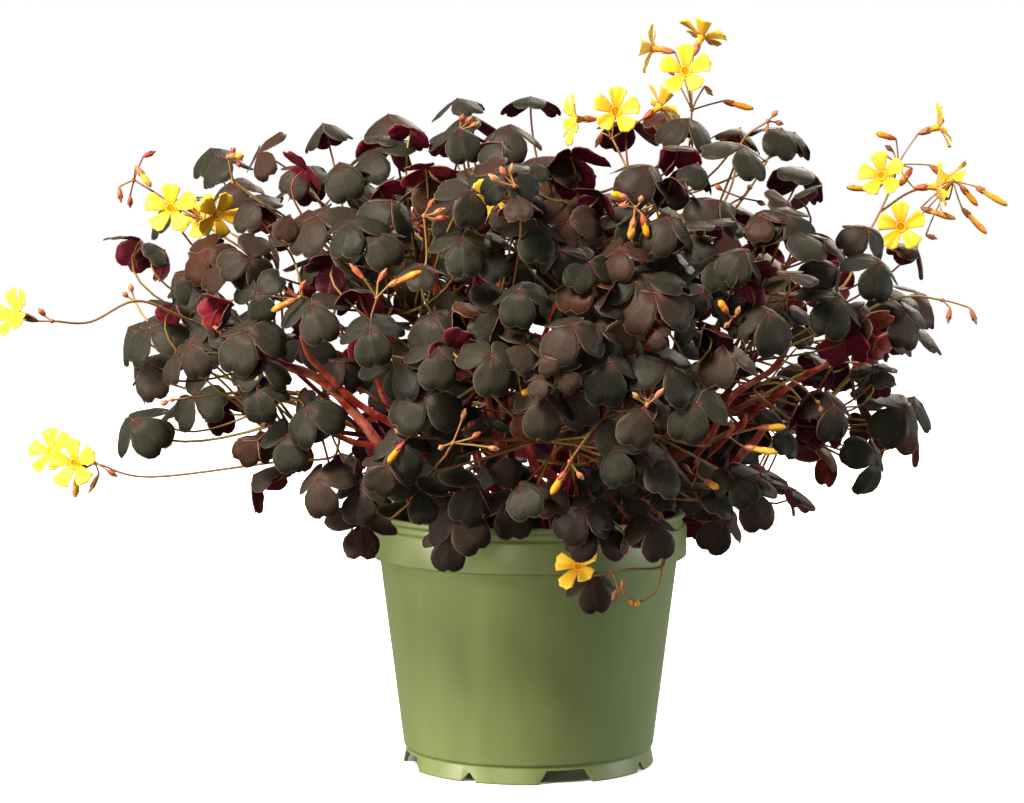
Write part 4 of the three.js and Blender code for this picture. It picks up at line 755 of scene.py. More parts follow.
def petal_finish():
    """Oxalis petal: thin translucent tissue with a silky face, which looks clear yellow, deeper towards the
    throat, with fine orange guide lines there, about 1.4 mm apart"""
    finish, shader = start_finish("oxalis petal", Roughness=0.45, IOR=1.38, Sheen_Weight=0.2)
    place = add(finish, "TexCoord")
    parts = add(finish, "SeparateXYZ", {0: place["UV"]})
    skin = add(finish, "ValToRGB", {"Fac": parts[1]}, ramp=[
        (0.0, "#cc6c08"), (0.14, "#e09408"), (0.32, "#eeb414"), (0.7, "#f4c624"), (1.0, "#f8d23c"),
    ])
    lines = add(finish, "Math", {0: parts[0], 1: 44.0}, operation="MULTIPLY")[0]
    crest = add(finish, "Math", {0: lines}, operation="COSINE")[0]
    thin = add(finish, "MapRange", {0: crest, 1: 0.82, 2: 1.0, 3: 0.0, 4: 1.0})[0]
    near = add(finish, "MapRange", {0: parts[1], 1: 0.12, 2: 0.5, 3: 0.6, 4: 0.0})[0]
    guide = add(finish, "Math", {0: thin, 1: near}, operation="MULTIPLY")[0]
    shade = add(finish, "Mix", {0: guide, 6: skin[0], 7: linear("#d8641a")}, data_type="RGBA")
    return end_finish(finish, shader, shade[2], bump=(crest, 0.015))


def pot_finish():
    """Polypropylene, injection-moulded and coloured through: olive green with a soft satin gloss and faint
    upright flow marks about 22 mm wide, under a fine tooth of about 1 mm"""
    gloss = {"IOR": 1.49, "Coat_Weight": 0.1, "Coat_Roughness": 0.25}
    finish, shader = start_finish("moulded green polypropylene", **gloss)
    place = add(finish, "TexCoord")["Object"]
    squeezed = add(finish, "Mapping", {"Vector": place, "Scale": (1.0, 1.0, 0.25)})
    flow = add(finish, "TexNoise", {"Vector": squeezed[0], "Scale": 45.0, "Detail": 5.0})
    skin = add(finish, "ValToRGB", {"Fac": flow["Fac"]}, ramp=[
        (0.3, "#6f7f4a"), (0.5, "#778851"), (0.7, "#7f9058"),
    ])
    rough = add(finish, "MapRange", {0: flow["Fac"], 1: 0.3, 2: 0.7, 3: 0.4, 4: 0.5})
    fine = add(finish, "TexNoise", {"Vector": place, "Scale": 900.0, "Detail": 2.0})
    bump = (fine["Fac"], 0.02)
    return end_finish(finish, shader, skin[0], bump=bump, roughness=rough[0])


def soil_finish():
    """Damp peat with bark crumbs: almost black brown, with paler fibres and grains of 1.4 to 2.4 mm"""
    finish, shader = start_finish("damp peat", Roughness=0.92, IOR=1.4)
    place = add(finish, "TexCoord")["Object"]
    crumbs = add(finish, "TexVoronoi", {"Vector": place, "Scale": 420.0})
    grain = add(finish, "TexNoise", {"Vector": place, "Scale": 700.0, "Detail": 6.0})
    skin = add(finish, "ValToRGB", {"Fac": grain["Fac"]}, ramp=[
        (0.3, "#0f0a06"), (0.5, "#1c130b"), (0.64, "#2c1e12"), (0.8, "#4a3520"),
    ])
    return end_finish(finish, shader, skin[0], bump=(crumbs["Distance"], 1.2))


def board_finish():
    """Studio board, matt white and glowing evenly, but for a painted shadow under the pot: over the place
    that the pot stands on, the glow fades to nothing
    """
    finish, shader = start_finish("matt white studio board", Roughness=0.9)
    shader.inputs["Emission Color"].default_value = (1, 1, 1, 1)
    place = add(finish, "TexCoord")["Object"]
    tooth = add(finish, "TexNoise", {"Vector": place, "Scale": 3.0})
    skin = add(finish, "ValToRGB", {"Fac": tooth["Fac"]}, ramp=[(0, "#fbfbfb"), (1, "#fdfdfd")])
    # painted shadow under the pot: the glow fades from full just outside the foot ring to nothing inside it
    reach = add(finish, "VectorMath", {0: place}, operation="LENGTH")["Value"]
    bounds = {1: 0.85 * TOE_RADIUS * MM, 2: 1.12 * TOE_RADIUS * MM, 3: 0.0, 4: BOARD_GLOW}
    glow_with_painted_shadow = add(finish, "MapRange", {0: reach, **bounds}, interpolation_type="SMOOTHSTEP")[0]
    finish.node_tree.links.new(glow_with_painted_shadow, shader.inputs["Emission Strength"])
    return end_finish(finish, shader, skin[0])


LEAF_TOP, LEAF_UNDER = leaf_top_finish(), leaf_under_finish()
LEAF_RIM = plain_finish("oxalis leaf edge", ["#4a2c2c", "#6c4e48", "#8c7468"], 3.0, 0.5)
LEAF_HUB = plain_finish("oxalis leaf hub", ["#5c2028", "#7c3038", "#944a40"], 3.0, 0.5)
STEM_CODES = ["#420f0e", "#7c1a18", "#aa302a", "#cc7864"]
STEM_SKIN = plain_finish("oxalis stem skin", STEM_CODES, 5.0, 0.42, bump=0.3, young="#94603c")
STALK_SKIN = plain_finish("oxalis leaf stalk skin", ["#5c2418", "#7c4a26", "#8c7634", "#9c8444"], 12.0, 0.45)
SPRAY_SKIN = plain_finish("oxalis flower stalk skin", ["#7e4e2e", "#90703e", "#9a8048", "#a4704c"], 9.0, 0.45)
CALYX_SKIN = plain_finish("oxalis calyx skin", ["#9a3e28", "#b45e3c", "#c07a50", "#a4724a"], 3.0, 0.45)
BUD_SKIN = plain_finish("oxalis bud skin", ["#985040", "#b07258", "#bc8c6c", "#c89c5c"], 3.0, 0.42)
ROLLED_PETAL = plain_finish("oxalis rolled petal", ["#dc8a14", "#e8a422", "#eeba40", "#d87c34"], 2.5, 0.42)
PETAL = petal_finish()
POT_PLASTIC, PEAT, BOARD = pot_finish(), soil_finish(), board_finish()
STEM_FINISHES = [LEAF_TOP, LEAF_UNDER, LEAF_RIM, STALK_SKIN, STEM_SKIN, LEAF_HUB]
SPRAY_FINISHES = [SPRAY_SKIN, CALYX_SKIN, BUD_SKIN, ROLLED_PETAL]


# Stems and the places on them that carry leaves and sprays


def grow_lines():
    """The stems, and the side shoots that the model could fit, each as a bend"""
    stems, shoots = [], []
    for tier in STEM_TIERS:
        for index in range(tier["count"]):
            turn = tier["first"] + 360 / tier["count"] * index
            flat = np.array([math.cos(math.radians(turn)), math.sin(math.radians(turn)), 0.0])
            root, collar = (flat * tier["root"] + height * UP for height in (STEM_FOOT, STEM_COLLAR))
            knee = flat * tier["knee"][0] + tier["knee"][1] * UP
            tip = mound_reach(turn, tier["climb"], tier["reach"])
            stems.append({
                "node": len(stems), "bend": (collar, knee, tip), "steps": STEM_STEPS, "root": root,
                "radii": (STEM_RADIUS, STEM_TIP_RADIUS), "turn": turn, "climb": tier["climb"],
            })
    for stem in stems:
        collar, knee, tip = stem["bend"]
        for shoot in SHOOTS:
            start = bend(collar, knee, tip, shoot["at"])
            end = mound_reach(stem["turn"] + shoot["turn"], stem["climb"] + shoot["climb"], shoot["reach"])
            middle = (start + end) / 2 + unit(tip - knee) * SHOOT_SWELL
            if distance(stem["node"], end) < SHOOT_RADIUS:
                shoots.append({
                    "node": stem["node"], "bend": (start, middle, end), "steps": SHOOT_STEPS,
                    "radii": (SHOOT_RADIUS, SHOOT_TIP_RADIUS),
                })
    return stems, shoots


def model_tree(name):
    """A CAD node's triangles in a tree that finds the nearest one, in millimetres"""
    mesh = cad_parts[name].data
    points = np.empty(3 * len(mesh.vertices))
    mesh.vertices.foreach_get("co", points)
    faces = [tuple(face.vertices) for face in mesh.polygons]
    return BVHTree.FromPolygons((points.reshape(-1, 3) / MM).tolist(), faces)


def distance(node, point):
    """How far a point is from the surface of a leafy stem of the model"""
    return STEM_TREES[node].find_nearest(point.tolist())[3]


def model_seats():
    """The places where the model roots its stalks, with the same place on the smooth line"""
    seats = []
    for line in LINES:
        corners = bend(*line["bend"], np.arange(line["steps"] + 1) / line["steps"])
        for at in STALK_SEATS:
            step = int(at * line["steps"])
            share = at * line["steps"] - step
            seats.append({
                "node": line["node"],
                "point": corners[step] * (1 - share) + corners[step + 1] * share,
                "smooth": bend(*line["bend"], at),
                "radius": line["radii"][0] + (line["radii"][1] - line["radii"][0]) * at,
                "way": unit(corners[step + 1] - corners[step]),
            })
    return seats


# Leaves


def shown(point):
    """The pixel of the front view that shows a point"""
    tilt = math.radians(EYE_TILT)
    x, y, z = point - np.array(EYE)
    reach, climb = y * math.cos(tilt) - z * math.sin(tilt), y * math.sin(tilt) + z * math.cos(tilt)
    return EYE_CENTRE[0] + EYE_FOCAL * x / reach, EYE_CENTRE[1] - EYE_FOCAL * climb / reach


def leaf_form(hub, seed, facing, tilt_given=None, scale=1.0, free=False):
    """How a leaf hangs, as in the model: its hub, its axis, two directions across and its own sizes; one that
    the model leaves out varies more freely, and so does the droop of its leaflets"""
    draw = stream(LEAF_SEED + seed)
    ranges = FREE_RANGES if free else LEAF_RANGES
    drawn = {name: low + (high - low) * draw() for name, (low, high) in ranges.items()}
    depth = along(MOUND_DEPTH, hub[2])
    out = unit(np.array([hub[0], hub[1] / depth**2, 0.0])) * (1 - facing) + np.array([0.0, -facing, 0.0])
    turn = math.atan2(out[1], out[0]) + math.radians(drawn["turn"])
    out = np.array([math.cos(turn), math.sin(turn), 0.0])
    tilt = math.radians((along(LEAF_TILT, hub[2]) if tilt_given is None else tilt_given) + drawn["lean"])
    axis = UP * math.cos(tilt) + out * math.sin(tilt)
    down = out * math.cos(tilt) - UP * math.sin(tilt)
    leaf = {name: math.radians(drawn[name]) for name in ("droop", "arch", "fold", "spin")}
    return leaf | {
        "hub": hub, "axis": axis, "down": down, "across": np.cross(axis, down), "seed": seed,
        "size": LEAFLET_LENGTH * drawn["size"] * scale,
        "sway": np.radians([LEAFLET_SWAY * (2 * draw() - 1) for _ in range(3)]) if free else np.zeros(3),
    }


def aim_leaf(leaf, aim):
    """Turn the leaf about its axis until one leaflet points a given way in the front view"""
    x, z = math.sin(math.radians(aim)), -math.cos(math.radians(aim))
    a = leaf["down"][0] * z - leaf["down"][2] * x
    b = leaf["across"][0] * z - leaf["across"][2] * x
    leaf["spin"] = math.atan2(-a, b)
    way = leaf["down"] * math.cos(leaf["spin"]) + leaf["across"] * math.sin(leaf["spin"])
    if way[0] * x + way[2] * z < 0:
        leaf["spin"] += math.pi
    return leaf


def stacked(leaves, key):
    """One of the leaves' values as an array, shaped to spread over leaflets and grids"""
    values = np.array([leaf[key] for leaf in leaves])
    return values.reshape(len(leaves), *([1] * 2), *values.shape[1:])


def leaflet_points(leaves, s, w, lift, ridge=0.0):
    """Points of all the leaflets: s runs out from the hub on an arc that droops more and more, w runs across
    and folds down from the midrib, which is rounded by the ridge, and lift is square to the face"""
    turn = stacked(leaves, "spin") + 2 * np.pi * np.arange(3).reshape(1, 3, 1) / 3
    turn, size = turn[..., None], stacked(leaves, "size")[..., None]
    down, across, axis = (stacked(leaves, key) for key in ("down", "across", "axis"))
    way = down * np.cos(turn) + across * np.sin(turn)
    side = across * np.cos(turn) - down * np.sin(turn)
    droop, arch, fold = (stacked(leaves, key)[..., None] for key in ("droop", "arch", "fold"))
    droop = droop + np.array([leaf["sway"] for leaf in leaves]).reshape(len(leaves), 3, 1, 1)
    s, w = s.reshape(1, 1, -1, 1), w.reshape(1, 1, -1, 1)
    angle = droop + arch * s
    out = size * (np.sin(angle) - np.sin(droop)) / arch
    fall = size * (np.cos(droop) - np.cos(angle)) / arch
    face = way * np.sin(angle) + axis * np.cos(angle)
    roof = (np.sqrt(w * w + ridge * ridge) - ridge) * size * np.sin(fold)
    middle = stacked(leaves, "hub") + way * out - axis * fall
    return middle + side * w * size * np.cos(fold) + face * (lift - roof)


def stalk_bend(leaf, seat_point, lift, start):
    """The three points of a leaf stalk's bend, from just under the hub to its seat"""
    top = leaf["hub"] - leaf["axis"] * start
    length = np.linalg.norm(seat_point - top)
    return top, top - leaf["axis"] * STALK_BEND * length + UP * lift * length, seat_point


def find_leaf(form_at):
    """The leaf that the model placed by trying shifts, and the node that it is on"""
    rim = np.array([(s, w * sign) for s, w in LEAFLET_OUTLINE for sign in (-1, 1)])
    for shift in LEAF_SHIFTS:
        leaf = form_at(shift)
        points = leaflet_points([leaf], rim[:, 0], rim[:, 1], 0.0).reshape(-1, 3)
        for node, tree in enumerate(STEM_TREES):
            if distance(node, points[0]) > FIRST_MATCH:
                continue
            gaps = [tree.find_nearest(point.tolist())[3] for point in points]
            if sum(gap < RIM_MATCH for gap in gaps) > RIM_SHARE * len(gaps):
                return leaf, node
    return None


def find_seat(leaf, node):
    """The seat and lift whose bend runs inside the model's stalk"""
    least, best = 2 * MODEL_STALK_RADIUS, None
    for seat in SEATS:
        if seat["node"] != node:
            continue
        for lift in STALK_LIFTS:
            places = bend(*stalk_bend(leaf, seat["point"], lift, MODEL_LEAF_THICKNESS), BEND_CHECKS)
            middles = (places[:-1] + places[1:]) / 2
            gap = max(distance(node, point) for point in (*places[:2], *middles))
            if gap < least:
                least, best = gap, (seat, lift)
    return best


def model_leaves():
    """The leaves that the model carries, each with its seat, and the front ones that it had no room for"""
    found, missed = [], []

    def keep(form_at):
        """Keep a leaf if the model has it, with its seat on the model's stem or the nearest other place"""
        leaf, node = find_leaf(form_at) or (None, None)
        if leaf is None:
            return False
        seat, lift = find_seat(leaf, node) or (None, 0)
        held = {"node": node, "foot": seat["smooth"], "lift": lift} if seat else perch(leaf, node)
        found.append(leaf | held)
        return True

    for index, (across, down, aim, back, *tilt) in enumerate(FRONT_LEAVES):

        def front_leaf(shift):
            """This leaf, moved back by a shift"""
            hub = mound_point(across, down, back + shift)
            return aim_leaf(leaf_form(hub, index, FRONT_FACING, tilt[0] if tilt else None), aim)

        if not keep(front_leaf):
            missed.append(front_leaf(0))
    for index in range(BACK_TRIES):
        turn = 2 * math.pi * ((0.5 + GOLDEN[0] * index) % 1)
        z = along(BACK_HEIGHTS, (0.5 + GOLDEN[1] * index) % 1)
        if math.sin(turn) < BACK_FROM and z < TOP_FROM:
            continue
        keep(lambda shift: leaf_form(skin_point(turn, z, BACK_INSET + abs(shift)), BACK_SEED + index, 0))
    return found, missed


def skin_point(turn, z, inset):
    """The point of the mound's skin in a direction and at a height, moved in"""
    half = along(MOUND_PROFILE, z) - inset
    return np.array([half * math.cos(turn), along(MOUND_DEPTH, z) * half * math.sin(turn), z])


def perch(leaf, node=None):
    """The foot of a further leaf's stalk: the place on a stem or shoot that costs least by the model's rule,
    with a cost for each stalk that already stands there"""
    gaps = PERCHES - leaf["hub"]
    lengths = np.linalg.norm(gaps, axis=1)
    above = np.maximum(0, gaps @ leaf["axis"] / lengths + STALK_ABOVE_SLACK)
    cost = np.abs(lengths - FURTHER_STALK) + STALK_ABOVE_COST * above + PERCH_USES * PERCH_COST
    cost = cost + STALK_RISE_COST * np.maximum(0, gaps[:, 2])
    if node is not None:
        cost = cost + OTHER_STEM_COST * (PERCH_NODES != node)
    best = int(np.argmin(cost))
    PERCH_USES[max(0, best - 1) : best + 2] += 1
    return {"node": int(PERCH_NODES[best]), "foot": PERCHES[best], "lift": PERCH_LIFT}


def hides_nothing(hub):
    """Whether a leaf of the rule keeps within the mass of leaves that the front view shows, and in its front
    half, clear of the places where the front view looks in on the stems"""
    front = hub[1] < 0
    across, down = shown(hub)
    if front and any(math.hypot(across - x, down - y) < reach for x, y, reach in OPENINGS):
        return False
    low = along(LOW_EDGE, across) if front else 2 * EYE_CENTRE[1]
    inside = SKYLINE[0][0] < across < SKYLINE[-1][0]
    return inside and along(SKYLINE, across) + SKYLINE_DROP < down < low


def further_leaves(found, missed):
    """The leaves that the model leaves out: those seen in the front view, and inside and behind them leaves
    spread by rule in the mound and under its crown, none closer to another than a spacing"""
    leaves = list(missed)
    for rows, first, deeper, size, own in SEEN_KINDS:
        for index, (across, down, aim, back, *lean) in enumerate(rows):
            hub = mound_point(across, down, back + deeper)
            tilt = -lean[0] if lean else None
            leaf = leaf_form(hub, first + index, FRONT_FACING, tilt, size, free=True)
            leaves.append(aim_leaf(leaf, aim) | own)
    hubs = [leaf["hub"] for leaf in found + leaves]

    def keep(hub, spacing, *form):
        """Keep a leaf if no hub is within the spacing and it hides nothing"""
        free = np.min(np.linalg.norm(np.array(hubs) - hub, axis=1)) > spacing
        if free and hides_nothing(hub):
            leaves.append(leaf_form(hub, *form, free=True))
            hubs.append(hub)

    for index in range(FURTHER_TRIES):
        a, b, c = ((0.5 + share * index) % 1 for share in FURTHER_SHARES)
        turn, z = 2 * math.pi * a, along(BACK_HEIGHTS, b)
        hidden = math.sin(turn) < BACK_FROM and z < TOP_FROM
        inset = (FRONT_LEAF_INSET if hidden else BACK_LEAF_INSET) + FURTHER_DEPTH * c**DEPTH_POWER
        hub = skin_point(turn, z, inset)
        if along(MOUND_PROFILE, z) - inset < LEAST_REACH or index > FRONT_TRIES and hub[1] < 0:
            continue
        spacing = THIN_SPACING if hub[0] < THIN_SIDE else BACK_SPACING if hub[1] > 0 else FURTHER_SPACING
        tilt = along(LEAF_TILT, z) + FURTHER_SWAY * ((7 * c + 3 * a) % 1 - 0.5)
        keep(hub, spacing, FURTHER_SEED + index, 0.25 if hidden else 0.0, tilt)
    for index in range(CROWN_TRIES):
        a, b, c = ((0.5 + share * index) % 1 for share in FURTHER_SHARES)
        turn, reach = 2 * math.pi * a, CROWN_REACH * math.sqrt(b)
        z = CROWN_HEIGHTS[0] + (CROWN_HEIGHTS[1] - CROWN_HEIGHTS[0]) * c
        hub = np.array([reach * math.cos(turn), along(MOUND_DEPTH, z) * reach * math.sin(turn), z])
        keep(hub, BACK_SPACING, CROWN_SEED + index, 0.0, CROWN_TILT)
    return [leaf | perch(leaf) for leaf in leaves]


def even(points, count):
    """Points evenly spaced on a line of points"""
    steps = np.concatenate([[0], np.cumsum(np.linalg.norm(np.diff(points, axis=0), axis=1))])
    at = np.linspace(0, steps[-1], count)
    return np.stack([np.interp(at, steps, column) for column in points.T], axis=-1)


def blade_form(columns, rows):
    """A leaflet's grid as s out from the hub, w across, and u and v on its map: columns end on the outer arc,
    from one side over the lobe, the shallow notch and the other lobe; rows run from near the hub to the arc,
    and bow out more towards the sides"""
    half = even(through(LEAFLET_ARC, 12), columns // 2 + 1)
    arc = np.concatenate([half[::-1] * (1, -1), half[1:]])
    v = np.linspace(-1, 1, len(arc))
    u = np.linspace(LEAFLET_START, 1, rows + 1)[:, None]
    s, w = u * arc[:, 0], (u + v * v * (1 - (1 - u) ** BLADE_BOW - u)) * arc[:, 1]
    return [np.broadcast_to(part, s.shape).ravel() for part in (s, w, u, v)]


def grow_leaves(growth, leaves, columns, rows):
    """The leaves' blades: each leaflet is a thin skin of two faces and an edge, its face waved a little
    towards the edge by a sine across it"""
    s, w, u, v = blade_form(columns, rows)
    draw = np.random.default_rng(LEAF_SEED + len(leaves) + leaves[0]["seed"])
    phase, swing, cup = (draw.uniform(*bounds, (len(leaves), 3, 1)) for bounds in WAVE_RANGES.values())
    wave = swing * u**2 * np.sin(WAVE_PITCH * v + phase) + cup * u**2 * v**2
    under = wave - LEAF_THICKNESS * (1 - EDGE_THINNING * u**4)
    faces = [leaflet_points(leaves, s, w, lift[..., None], LEAFLET_RIDGE) for lift in (wave, under)]
    tones = np.array([leaf.get("tone", (leaf["seed"] * GOLDEN[0]) % 1) for leaf in leaves])
    tones = np.where([leaf["seed"] < BACK_SEED for leaf in leaves], FRONT_TONE * tones, tones**FREE_TONE)
    low = [leaf["hub"][2] < LOW_LEAVES for leaf in leaves]
    tones = (1 - TONE_SPREAD) * np.where(low, LOW_TONES[0] + LOW_TONES[1] * tones, tones)
    tones = np.repeat(tones, 3) + draw.uniform(-TONE_SPREAD, TONE_SPREAD, 3 * len(leaves))
    growth.add(
        np.concatenate(faces, axis=2).reshape(3 * len(leaves), -1, 3),
        skin_faces(rows + 1, columns + 1, TOP_SLOT, UNDER_SLOT, EDGE_SLOT),
        np.tile(np.stack([0.5 + 0.5 * v, u], axis=-1), (2, 1)),
        np.clip(tones, 0, 1),
    )


def grow_leaf_stalks(growth, leaves):
    """The leaves' stalks: a small swelling at the hub, then a thin tube on a bend to a foot that flares"""
    hubs, axes = (np.array([leaf[key] for leaf in leaves]) for key in ("hub", "axis"))
    bends = [stalk_bend(leaf, leaf["foot"], leaf["lift"], HUB_ROWS[-1][0] + 1) for leaf in leaves]
    t = np.linspace(0, 1, STALK_ROWS)
    tops = np.stack([hubs - axes * depth for depth, _ in HUB_ROWS], axis=1)
    paths = np.concatenate([tops, np.stack([bend(*three, t) for three in bends])], axis=1)
    radii = np.concatenate([[radius for _, radius in HUB_ROWS], STALK_RADIUS * (0.85 + 0.25 * t)])
    radii[-1] *= STALK_FLARE
    scale = np.array([0.75 + 0.25 * leaf["size"] / LEAFLET_LENGTH for leaf in leaves])
    tones = [(leaf["seed"] * GOLDEN[1]) % 1 for leaf in leaves]
    growth.add_rings(tubes(paths, scale[:, None] * radii, STALK_SIDES), STALK_SLOT, tones, (3, HUB_SLOT))


def grow_stem(growth, line, feet):
    """A stem or side shoot: a tube that narrows to its tip and swells a little where each stalk stands"""
    t = np.linspace(0, 1, STEM_ROWS if "root" in line else SHOOT_ROWS)
    path = bend(*line["bend"], t)
    radii = line["radii"][0] + (line["radii"][1] - line["radii"][0]) * t
    for foot in feet:
        gaps = np.linalg.norm(path - foot, axis=1)
        radii = radii + FOOT_SWELL * np.exp(-(gaps / FOOT_SWELL_REACH) ** 2)
    radii = np.minimum(radii, 1.25 * line["radii"][0])
    radii[-1] *= 0.6
    if "root" in line:
        foot = np.linspace(line["root"], path[0], FOOT_ROWS + 1)[:-1]
        path, radii = np.concatenate([foot, path]), np.concatenate([[STEM_RADIUS] * FOOT_ROWS, radii])
    tone = 0.1 + 0.25 * ((line["node"] * GOLDEN[0]) % 1)
    growth.add_rings(tubes(path[None], radii[None], STEM_SIDES), STEM_SLOT, tone)


def grow_seen_stem(name, root, depths, radii, places):
    """A thick stem that stands in the soil and runs through its places in the front view: a tube that narrows
    to its tip, with a knot every so often where old leaves stood"""
    y = np.linspace(*depths, len(places))
    points = [np.array([*root, STEM_FOOT + 8]), np.array([*root, STEM_COLLAR])]
    points += [seen(across, down, depth) for (across, down), depth in zip(places, y)]
    path = even(through(points, 12), SEEN_ROWS)
    t = np.linspace(0, 1, SEEN_ROWS)
    radius = radii[0] + (radii[1] - radii[0]) * t
    radius = radius * (1 + KNOT * np.exp(-(((t * KNOTS) % 1 - 0.5) / KNOT_WIDTH) ** 2))
    radius[-3:] *= (0.9, 0.7, 0.4)
    tone = 0.45 + 0.5 * ((radii[0] * 3.7 + places[0][0] * 0.137) % 1)
    growth = Growth()
    growth.add_rings(tubes(path[None], radius[None], SEEN_SIDES), 0, tone)
    growth.piece(name, "foliage", [STEM_SKIN])


# Flowers


def spray_runs(depths, stalk, fork=0, branch=()):
    """The runs of a spray's stalks in space, as in the model"""
    y = depths[0] + (depths[1] - depths[0]) * np.array([i / (len(stalk) - 1) for i in range(len(stalk))])
    run = np.array([seen(*place, depth) for place, depth in zip(stalk, y)])
    further = [seen(*place, depths[1]) for place in branch]
    return [run, np.array([run[fork], *further])] if branch else [run]


def foot_on(seat, aim):
    """A foot for a stalk beside the stem that carries it, and the point where it is clear of the stem"""
    out = aim - seat["point"]
    out = unit(out - seat["way"] * np.dot(out, seat["way"]))
    foot = seat["point"] + out * (seat["radius"] + GAP)
    return foot, foot + out * SPRAY_CLEARING


def spray_foot(first, tree):
    """The seat that the model gave a spray, or for a further spray the nearest one, and its clear point"""

    def cost(seat):
        """The distance to the seat, and more where the seat is higher"""
        return np.linalg.norm(first - seat["point"]) + SPRAY_RISE_COST * max(0, seat["point"][2] - first[2])

    near = sorted(SEATS, key=cost)[: SPRAY_TRIES if tree else 1]
    if tree:
        near.sort(key=lambda seat: tree.find_nearest(foot_on(seat, first)[0].tolist())[3])
    return near[0]["smooth"], foot_on(near[0], first)[1]


def turned(growth, foot, way, rings, slot, columns, tone=0.5, scallop=0.0):
    """A form turned about a way from its foot: rings at heights with radii, whose height may rise and fall
    five times round by a share"""
    side = unit(np.cross(way, TUBE_SIDE))
    over = np.cross(way, side)
    angle = 2 * np.pi * np.arange(columns) / columns
    lobes = 1 + scallop * (np.cos(5 * angle) - 1) / 2
    heights, radii = np.array(rings[0])[:, None], np.array(rings[1])[:, None, None]
    circle = side * np.cos(angle)[:, None] + over * np.sin(angle)[:, None]
    points = foot + radii * circle + (heights * lobes)[..., None] * way
    growth.add_rings(points[None], slot, tone)


def grow_calyx(growth, foot, way, length, radius, tone):
    """A calyx: a thin cup whose edge rises to five pointed sepals, with an inner face"""
    q = np.linspace(0, 1, 5)
    outer = radius * (0.32 + 0.68 * np.sin(q * np.pi / 2) ** 0.9)
    heights = np.concatenate([q * length, q[::-1][:3] * length, [0.4 * length]])
    radii = np.concatenate([outer, outer[::-1][:3] - 0.22, [0.15]])
    turned(growth, foot, way, (heights, radii), CALYX_SLOT, 20, tone, CALYX_SCALLOP)


def grow_end(growth, kind, head, foot, mouth, tone):
    """What a pedicel carries, with the pedicel: a calyx alone under an open flower, a rolled shut flower, or
    a pointed bud"""
    way = unit(mouth - foot)
    length = float(np.linalg.norm(mouth - foot))
    sag = (head + foot) / 2 - way * PEDICEL_SAG * np.linalg.norm(foot - head)
    bent = bend(head, sag, foot, np.linspace(0, 1, PEDICEL_STEPS))
    path = np.concatenate([bent, [foot + way * PEDICEL_SINK]])
    growth.add_rings(tubes(path[None], np.array([PEDICEL_RADII]), PEDICEL_SIDES), PEDUNCLE_SLOT, tone)
    calyxes = {
        "open": OPEN_CALYX * CALYX_LENGTH,
        "shut": min(SHUT_CALYX_LIMIT, SHUT_CALYX * length),
        "bud": BUD_CALYX * length,
    }
    grow_calyx(growth, foot, way, calyxes[kind], CALYX_RADII[kind], tone)
    if kind == "shut":
        rings = np.array(SHUT_RINGS[0]) * length, SHUT_RINGS[1]
        turned(growth, foot, way, rings, ROLLED_SLOT, 10, tone, ROLLED_SCALLOP)
    if kind == "bud":
        rings = np.array(BUD_RINGS[0]) * length, BUD_RINGS[1]
        turned(growth, foot, way, rings, BUD_SLOT, 8, tone)


def grow_spray(name, spray, tree, replaced):
    """A spray in one piece: the long stalk from its stem, the small head, and the pedicels with what they
    carry; gives the foot and way of each open corolla"""
    depths, stalk, ends, *branch = spray
    growth, blooms = Growth(), []
    runs = spray_runs(depths, stalk, *branch)
    start, clear = spray_foot(runs[0][0], tree)
    tone = (len(ends) * 0.37 + abs(float(runs[0][0][0])) * 0.013) % 1
    for k, run in enumerate(runs):
        path = through(run, RUN_STEPS)
        if k == 0:
            path = np.concatenate([[start], through([clear, *run], RUN_STEPS)])
        radii = PEDUNCLE_RADIUS * np.linspace(*RUN_TAPER, len(path))
        growth.add_rings(tubes(path[None], radii[None], PEDUNCLE_SIDES), PEDUNCLE_SLOT, tone)
        way = unit(run[-1] - run[-2])
        turned(growth, run[-1] - way * NODE_SINK, way, NODE_RINGS, CALYX_SLOT, 8, tone)
    for index, (kind, foot_x, foot_y, mouth_x, mouth_y, depth, *more) in enumerate(ends):
        front, k = (*more, 0, 0)[:2]
        foot = seen(foot_x, foot_y, depths[1] + depth)
        mouth = seen(mouth_x, mouth_y, depths[1] + depth + front)
        grow_end(growth, kind, runs[k][-1], foot, mouth, (tone + index * 0.31) % 1)
        if kind == "open":
            way = unit(mouth - foot)
            blooms.append((foot + way * (CALYX_LENGTH + GAP), way))
    growth.piece(name, "spray", SPRAY_FINISHES, *replaced)
    return blooms


